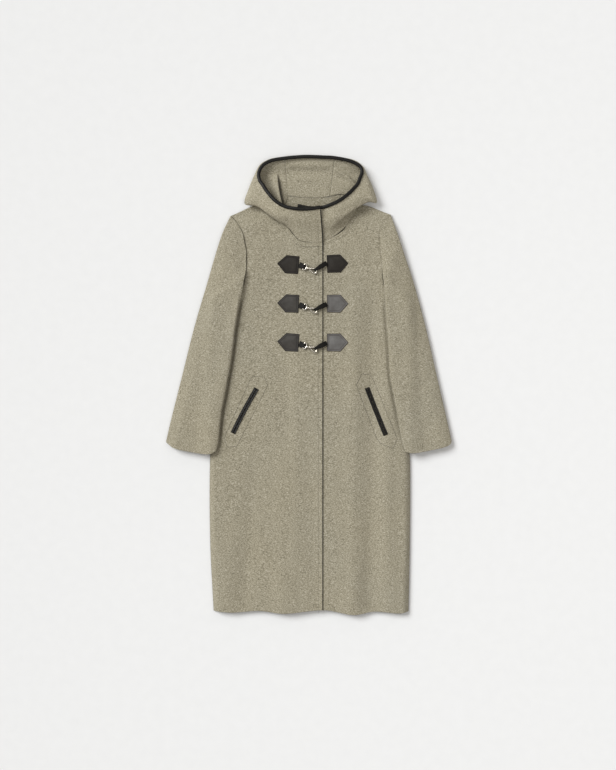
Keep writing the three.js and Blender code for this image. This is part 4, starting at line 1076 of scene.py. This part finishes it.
def make_tab(side, number, row):
    corners = tab_corners(side, row)
    fine = np.array([0, 0.12, 0.4, 0.8, 1.3, 1.9, 2.5, 3.1, 3.7, 4.6, 5.4, 5.9, 6.3, 6.8, 7.4, 8.4])
    u = np.unique(np.r_[fine / 48, np.linspace(8.4 / 48, 1 - 8.4 / 48, 22), 1 - fine / 48])[None, :]
    near, far = fine / 70, 1 - fine / 44
    v = np.unique(np.r_[near, np.linspace(8.4 / 70, 1 - 8.4 / 44, 26), 0.5, far])[:, None]
    low = np.where(v[..., None] < 0.5, mix(corners[0], corners[1], 2 * v[..., None]),
                   mix(corners[1], corners[2], 2 * v[..., None] - 1))
    high = np.where(v[..., None] < 0.5, mix(corners[5], corners[4], 2 * v[..., None]),
                    mix(corners[4], corners[3], 2 * v[..., None] - 1))
    flat = mix(low, high, u[..., None])
    x, y = flat[..., 0], flat[..., 1]
    d = edge_distance(flat, corners)
    seat = front_top(side, x, y) + 0.15
    belly = 1.5 * smooth(d, 5, 20) * (1 + 0.3 * np.sin(0.11 * x + number) * np.sin(0.13 * y))
    top = LEATHER - 0.3 + belly - rounded(d, 1.5) - 0.55 * np.exp(-((d - 3.1) / 0.6) ** 2)
    top = top - 0.5 * np.exp(-((d - 5.8) / 0.6) ** 2)
    points, faces = shell(np.dstack([flat, seat + np.maximum(top, 0.2)]), np.dstack([flat, seat]))
    rim = np.tile(np.maximum(1 - smooth(d, 1.0, 2.6), 0.85 * np.exp(-((d - 5.6) / 0.8) ** 2)).ravel(), 2)
    name = "tab_%s_%d" % (side, number)
    # The left tabs of the lower rows take the tone of painted sheen.
    tone = "dark" if number == 1 else "rubbed" if side == "left" else "plain"
    return add_piece("leather_" + name, points, faces, TAB_LEATHERS[tone], [name], "dark_leather", rim)


tabs = [make_tab(side, number, row) for number, row in enumerate(ROWS, 1) for side in ("right", "left")]
print(len(tabs), "tabs,", len(tabs[0].data.polygons), "faces each")

# %% [markdown]
# ## Leather loops
# Two folded strips hold each clasp: a short keeper from the right tab round the clasp's strap eye, and a
# longer strap from the left tab round the hook. Each is one flat strip that goes out, bends round the metal
# and comes back under itself, with its two edges stitched.

# %% Make the loops
CLASP_LIFT, EYE_BAR, STRAP_EYE = 5.9, 14.5, (47.3, 3.9)
LOOP_THICKNESS, FOLD_SPREAD = 1.8, 1.2
LOOP_LIFT = LYING_GAP + FOLD_SPREAD + LOOP_THICKNESS / 2 + SEAM_GAP


def clasp_place(row):
    """Places on a clasp: along it from the tab's edge, across it, and up from its own level."""
    ahead = np.array([np.cos(row["slant"]), np.sin(row["slant"]), 0])
    side = np.array([-ahead[1], ahead[0], 0])
    level = front_top("right", 0.0, row["y"]) + CLASP_LIFT
    origin = np.array([TAB["right"]["base"] + SEAM_GAP, row["y"] - row["drop"], level])

    def at(along, across=0.0, up=0.0):
        along, across, up = (np.asarray(f, float)[..., None] for f in (along, across, up))
        return origin + along * ahead + across * side + up * np.array([0, 0, 1.0])
    return at


def folded_loop(root, eye, middle_rise, root_half, eye_half, radius):
    ahead = unit((eye - root) * (1, 1, 0))
    across = np.array([-ahead[1], ahead[0], 0])
    t = np.linspace(0, 1, 30)[:-1]

    def layer(t, sign):
        line = mix(root, eye, t[:, None])
        line[:, 2] += middle_rise * 4 * t * (1 - t) + sign * mix(FOLD_SPREAD, radius, t * t)
        return line
    angle = np.linspace(np.pi / 2, -np.pi / 2, 19)
    bend = eye + np.outer(radius * np.cos(angle), ahead)
    bend[:, 2] += radius * np.sin(angle)
    path = np.concatenate([layer(t, 1), bend, layer(t[::-1], -1)])
    share = np.r_[t, np.ones(19), t[::-1]]
    half = mix(root_half, eye_half, smooth(share, 0.45, 1))
    return path, across, half


def strip(path, across, half):
    """A flat strip with round edges and two stitch channels, carried along a path."""
    side = np.broadcast_to(across, path.shape)
    up = unit(np.cross(unit(np.gradient(path, axis=0)), side))
    w = np.array([-1, -0.97, -0.88, -0.76, -0.68, -0.6, -0.4, 0, 0.4, 0.6, 0.68, 0.76, 0.88, 0.97, 1])
    h = np.array([0.1, 0.55, 0.9, 0.92, 0.6, 0.95, 1, 1, 1, 0.95, 0.6, 0.92, 0.9, 0.55, 0.1])
    h = h * LOOP_THICKNESS / 2
    flat = path[:, None] + side[:, None] * (w * half[:, None])[..., None]
    return shell(flat + up[:, None] * h[None, :, None], flat - up[:, None] * h[None, :, None])


def make_loops(number, row):
    at = clasp_place(row)
    keeper = folded_loop(at(0.6, 0, LOOP_LIFT - CLASP_LIFT), at(EYE_BAR), 0, 8, 6, 3)
    x = TAB["left"]["base"] - 0.7
    root = np.array([x, row["y"] + row["strap_rise"], front_top("left", x, row["y"]) + LOOP_LIFT])
    strap = folded_loop(root, at(*STRAP_EYE), 2.5, 6.4, 3.8, 3.4)
    made = []
    for name, loop in (("keeper", keeper), ("strap", strap)):
        node = "%s_%d" % (name, number)
        points, faces = strip(*loop)
        made.append((add_piece("leather_" + node, points, faces, LOOP_LEATHER, [node], "dark_leather"), loop))
    return made


loops = [make_loops(number, row) for number, row in enumerate(ROWS, 1)]
print(len(loops) * 2, "loops")

# %% [markdown]
# ## Snap hooks
# A swivel snap hook is cast in four parts: a strap eye bent from wire, a turned swivel, a hook that tapers
# from a thick shank, and a spring gate. The bent parts are sections carried along a curve; the swivel is
# turned, so its radius is a table along its axis.

# %% Make the snap hooks
EYE = [(14.5, -7), (14.5, -3), (14.5, 3), (14.5, 7), (16, 8.7), (19, 7.2), (22, 2.4), (22, -2.4), (19, -7.2),
       (16, -8.7)]
HOOK = [(30.2, 0.4, 3.4), (32, 1.4, 3.7), (36, 3.6, 2.8), (40.5, 5, 2.1), (45, 4.9, 1.8), (49.3, 2.7, 1.8),
        (51.6, -1, 1.9), (50.6, -4.9, 2), (47, -6.7, 2), (43.4, -6.3, 1.9)]
SWIVEL = [(0, 0.4), (0, 2.3), (0.2, 2.9), (0.6, 3.1), (1.4, 3.0), (1.9, 3.1), (2.2, 3.6), (2.6, 3.9),
          (3.4, 3.9), (3.9, 3.7), (4.3, 3.2), (4.4, 0.4)]
UP = np.array([0, 0, 1.0])


def painted_side_shade(height, sides):
    """Painted reflection and shade: metal is coloured bright on top and dark at its sides, 1 less the share of its
    ring's height.
    """
    rings = height.reshape(-1, sides)
    return 1 - smooth(rings / rings.max(1, keepdims=True), 0.3, 0.97).ravel()


def make_clasp(number, row):
    at = clasp_place(row)
    eye = np.array(EYE)
    ring = spline(np.concatenate([eye, eye[:3]]), np.linspace(1, len(eye) + 1, 97)[:-1])
    eye_part = sweep(at(ring[:, 0], ring[:, 1]), UP, 1.8, 1.8, 14, closed=True)
    turned = np.array(SWIVEL)
    spin = np.linspace(0, 2 * np.pi, 33)[:-1]
    around = at(23.8 + turned[:, :1] + 0 * spin, turned[:, 1:] * np.cos(spin), turned[:, 1:] * np.sin(spin))
    index = np.arange(around[..., 0].size).reshape(around.shape[:2])
    swivel_part = (around.reshape(-1, 3), ring_faces(index))
    line = spline(np.array(HOOK), np.linspace(0, len(HOOK) - 1, 90))
    hook_part = sweep(at(line[:, 0], line[:, 1]), UP, np.minimum(line[:, 2], 2.4) + 0.4, line[:, 2], 22)
    shut = np.linspace((42.2, -5.9), (35.6, -2.6), 12)
    gate_part = sweep(at(shut[:, 0], shut[:, 1]), UP, 1.9, 1.9, 14)
    parts = {"eye": (eye_part, 14), "swivel": (swivel_part, 32), "hook": (hook_part, 22), "gate": (gate_part, 14)}
    level = at(0)[2]
    # The rim attribute of each metal part is its painted side shade.
    return [add_piece("metal_%s_%d" % (name, number), *part, NICKEL, ["%s_%d" % (name, number)], "nickel",
                      painted_side_shade(part[0][:, 2] - level, sides)) for name, (part, sides) in parts.items()]


clasps = [make_clasp(number, row) for number, row in enumerate(ROWS, 1)]
print(sum(len(parts) for parts in clasps), "metal parts")

# %% [markdown]
# ## Pocket welts
# A jetted pocket has two narrow lips of leather that meet over the slit. Each lip is a strip with a round
# back and fine ridges along it, where the leather is gathered over its filler.

# %% Make the pocket lips
POCKETS = {"right": [(-143, -7.3), (-208.3, -130.5)], "left": [(160.2, -5.4), (211.6, -135.7)]}
LIP_WIDTH, LIP_RISE = 6.7, 3.4
LIP_BOW = {"right": 1.8, "left": 0.5}


def make_lip(side, name, offset):
    top, bottom = np.array(POCKETS[side])
    ahead = (bottom - top) / np.linalg.norm(bottom - top)
    side_way = np.array([-ahead[1], ahead[0]])
    u, v = np.linspace(0, 1, 25)[None, :, None], np.linspace(0, 1, 120)[:, None, None]
    bow = LIP_BOW[side] * 4 * v * (1 - v) * (-1 if side_way[0] > 0 else 1)
    flat = mix(top, bottom, v) + side_way * (offset + bow + (u - 0.5) * LIP_WIDTH)
    u, v = u[..., 0], v[..., 0]
    wave = 0.12 * np.sin(v * 61 + 3 * u) + 0.08 * np.sin(v * 133)
    back = np.maximum(1 - np.abs(2 * u - 1) ** 2.6, 0) ** 0.5
    ends = np.minimum(smooth(v, -0.01, 0.015), 1 - smooth(v, 0.985, 1.01))
    rise = LIP_RISE * ends * back * (1 + 0.06 * wave) - 0.9 * (0.5 + 0.5 * np.cos(u * 4 * np.pi)) * ends
    seat = front_top(side, flat[..., 0], flat[..., 1]) + 0.1
    points, faces = shell(np.dstack([flat, seat + np.maximum(rise, 0.15)]), np.dstack([flat, seat]))
    node = "welt_%s_%s" % (side, name)
    return add_piece("leather_" + node, points, faces, WELT_LEATHER, [node], "dark_leather")


lips = [make_lip(side, name, sign * (LIP_WIDTH + SEAM_GAP) / 2)
        for side in ("right", "left") for name, sign in (("outer", 1), ("inner", -1))]
print(len(lips), "pocket lips")

# %% [markdown]
# ## Stitches
# A machine stitch seen from outside is a short twist of thread that dips into the cloth at both ends. One
# small spindle is copied along each seam line, every 3 mm, and laid on the surface under it.

# %% Sew
STITCH_SIDES = 6


def stitches(name, path, up, pitch, length, radius, finish, sink=0.25, slot="wool_cloth"):
    """Spindles along a path: rings of radius sin(share · 180°) ^ 0.6, bent down at both ends."""
    gone = np.r_[0, np.cumsum(np.linalg.norm(np.diff(path, axis=0), axis=1))]
    spots = np.arange(pitch / 2, gone[-1], pitch)
    centre = np.stack([np.interp(spots, gone, column) for column in path.T], -1)
    ahead = np.stack([np.interp(spots, gone, column) for column in unit(np.gradient(path, axis=0)).T], -1)
    up = np.broadcast_to(up, path.shape)
    up = unit(np.stack([np.interp(spots, gone, column) for column in up.T], -1))
    side = unit(np.cross(up, unit(ahead)))
    share = np.array([0.03, 0.25, 0.5, 0.75, 0.97])
    spin = 2 * np.pi * np.arange(STITCH_SIDES) / STITCH_SIDES
    size = radius * np.sin(np.pi * share) ** 0.6
    fore = (share - 0.5) * length
    dip = -sink - radius * 0.6 * np.abs(2 * share - 1) ** 2
    body = (centre[:, None, None] + unit(ahead)[:, None, None] * fore[:, None, None]
            + side[:, None, None] * (size[:, None] * np.cos(spin))[..., None]
            + up[:, None, None] * (size[:, None] * np.sin(spin) + dip[:, None])[..., None])
    index = np.arange(body[..., 0].size).reshape(body.shape[:3])
    index = np.concatenate([index, index[:, :, :1]], 2)
    sides = quads(index[:, :-1, :-1], index[:, :-1, 1:], index[:, 1:, 1:], index[:, 1:, :-1])
    caps = [quads(index[:, r, a], index[:, r, b], index[:, r, c], index[:, r, d])
            for r, order in ((0, (3, 2, 1, 0)), (-1, (0, 1, 2, 3))) for a, b, c, d in
            (order, tuple((k + 3) % 6 for k in order))]
    return add_piece(name, body.reshape(-1, 3), np.concatenate([sides] + caps), finish, slot=slot)


def on_front(side, line):
    """Points of a plan line laid on a front."""
    line = np.asarray(line, float)
    z = front_top(side, line[:, 0], line[:, 1], fine=True)
    return np.column_stack([line, z])


def along_corners(corners, step=1.5):
    """Points every few millimetres along straight sides."""
    corners = np.asarray(corners, float)
    gone = np.r_[0, np.cumsum(np.linalg.norm(np.diff(corners, axis=0), axis=1))]
    spots = np.linspace(0, gone[-1], int(gone[-1] / step))
    return np.stack([np.interp(spots, gone, column) for column in corners.T], -1)


def px(x, y):
    """A place read off the photograph, in millimetres."""
    return ((x - 308.75) * 2.75, (385.75 - y) * 2.75)


sewn = []
y = np.linspace(386, -626, 500)
lap_line = on_front("right", np.stack([np.full_like(y, LAP_EDGE_X - 10), y], -1))
sewn.append(stitches("thread_lap", lap_line - (0, 0, LAP_SINK), UP, 3.2, 2.9, 0.5, LAP_THREAD, 0))
for side in ("right", "left"):
    neck = by_length(FRONT_NECK[side])(np.linspace(0.02, 0.9, 300))
    normal = np.gradient(neck, axis=0)[:, ::-1] * (1, -1)
    normal = normal / np.linalg.norm(normal, axis=1, keepdims=True)
    normal = normal * np.sign((normal * (0, -1)).sum(1, keepdims=True) + 1e-9)
    line = on_front(side, neck + normal * 11)
    sewn.append(stitches("thread_neck_" + side, line, UP, 3.2, 2.9, 0.5, WOOL_THREAD, 0.1))
POCKET_LINES = {
    "right": [(252.9, 376.5), (264.5, 377), (267.6, 385.9), (236.8, 446.2), (227, 447), (224.3, 437.7),
              (250.6, 379.2), (252.9, 376.5)],
    "left": [(361.6, 374), (370.7, 374.9), (374.8, 383.2), (397.2, 438.7), (392.7, 448.7), (379.8, 442.9),
             (375.7, 436.2), (359.9, 394.8), (356.2, 385.2), (361.6, 374)],
}
for side, corners in POCKET_LINES.items():
    line = on_front(side, along_corners([px(*corner) for corner in corners]))
    sewn.append(stitches("thread_pocket_" + side, line, UP, 3.2, 3.0, 0.6, WOOL_THREAD, -0.15))
edge_rows, hood_outer, _ = hood_grid["right"]
tenth = np.abs(edge_rows - 10).argmin()
sewn.append(stitches("thread_hood_edge", hood_outer[tenth, 5:100], UP, 3.2, 2.9, 0.5, LAP_THREAD, 0))
for side in ("right", "left"):
    line = hood_grid[side][2][-4, 82:104]
    sewn.append(stitches("thread_hood_seam_" + side, line, UP, 3.6, 2.4, 0.26, WOOL_THREAD, 0.1))
lining = hood_grid["left"][2][:, 62:].reshape(-1, 3)
for number, ends in enumerate((((71, 525.5), (90, 528.5)), ((86, 527), (84, 513))), 1):
    spots = along_corners(ends, 0.8)
    near = np.linalg.norm(lining[None, :, :2] - spots[:, None], axis=-1).argmin(1)
    sewn.append(stitches("thread_bar_tack_%d" % number, np.column_stack([spots, lining[near, 2].mean() + 0 * near]),
                         UP, 2.2, 2.4, 0.9 if number == 1 else 0.5, WOOL_THREAD, -0.4))
for number, row in enumerate(ROWS, 1):
    for side in ("right", "left"):
        corners = tab_corners(side, row)
        middle = corners.mean(0)
        inner = corners.copy()
        run = np.roll(corners, -1, 0) - corners
        lean = np.stack([-run[:, 1], run[:, 0]], -1) / np.linalg.norm(run, axis=1, keepdims=True)
        lean = lean * np.sign(((middle - corners) * lean).sum(1, keepdims=True))
        inner = np.delete(corners + 3.1 * (lean + np.roll(lean, 1, 0)) * 0.93, 3, 0)
        line = along_corners(np.concatenate([inner, inner[:1]]))
        z = front_top(side, line[:, 0], line[:, 1]) + 0.15 + LEATHER - 0.3 - 0.35
        sewn.append(stitches("thread_tab_%s_%d" % (side, number), np.column_stack([line, z]), UP, 2.6, 2.1,
                             0.34, DARK_THREAD, 0.1, "dark_leather"))
print(len(sewn), "rows of stitches")

# %% [markdown]
# ## What is cloth, the surface, and the end
# Each wool piece is listed with the size it was cut to, and its cloth area is printed. The surface is a pale board
# with a barely visible grain.

SHEETS = [
    (front_pieces["right"], (0.320, 1.150), 0.335, ["back"]),
    (front_pieces["left"], (0.325, 1.150), 0.335, ["back"]),
    (back_piece, (0.550, 1.155), 0.590, []),
    (sleeve_pieces["right"], (0.330, 0.670), 0.155, ["front_right"]),
    (sleeve_pieces["left"], (0.330, 0.670), 0.155, ["front_left"]),
    (hood_pieces["right"], (0.330, 0.270), 0.036, []),
    (hood_pieces["left"], (0.350, 0.270), 0.036, []),
    (hood_pieces["centre"], (0.135, 0.130), 0.016, []),
]
for piece, cut, area, carriers in SHEETS:
    print(piece.name, "cloth area", round(sum(face.area for face in piece.data.polygons) / 2, 4), "m²")

board = Finish("pale_board", Roughness=0.9, Specular_IOR_Level=0.2)
grain = board.noise(board.place(), 35, 3)
board.feed(board.shader.inputs["Base Color"], board.blend(grain, grey(0.80, 1, 1, 1), grey(0.84, 1, 1, 1)))
corners = np.array([(-3, -3), (3, -3), (3, 3), (-3, 3)], float)
mesh = bpy.data.meshes.new("surface")
mesh.from_pydata(np.column_stack([corners, np.full(4, -0.0003)]).tolist(), [], [(0, 1, 2, 3)])
mesh.materials.append(board.material)
surface = bpy.data.objects.new("surface", mesh)
bpy.context.collection.objects.link(surface)
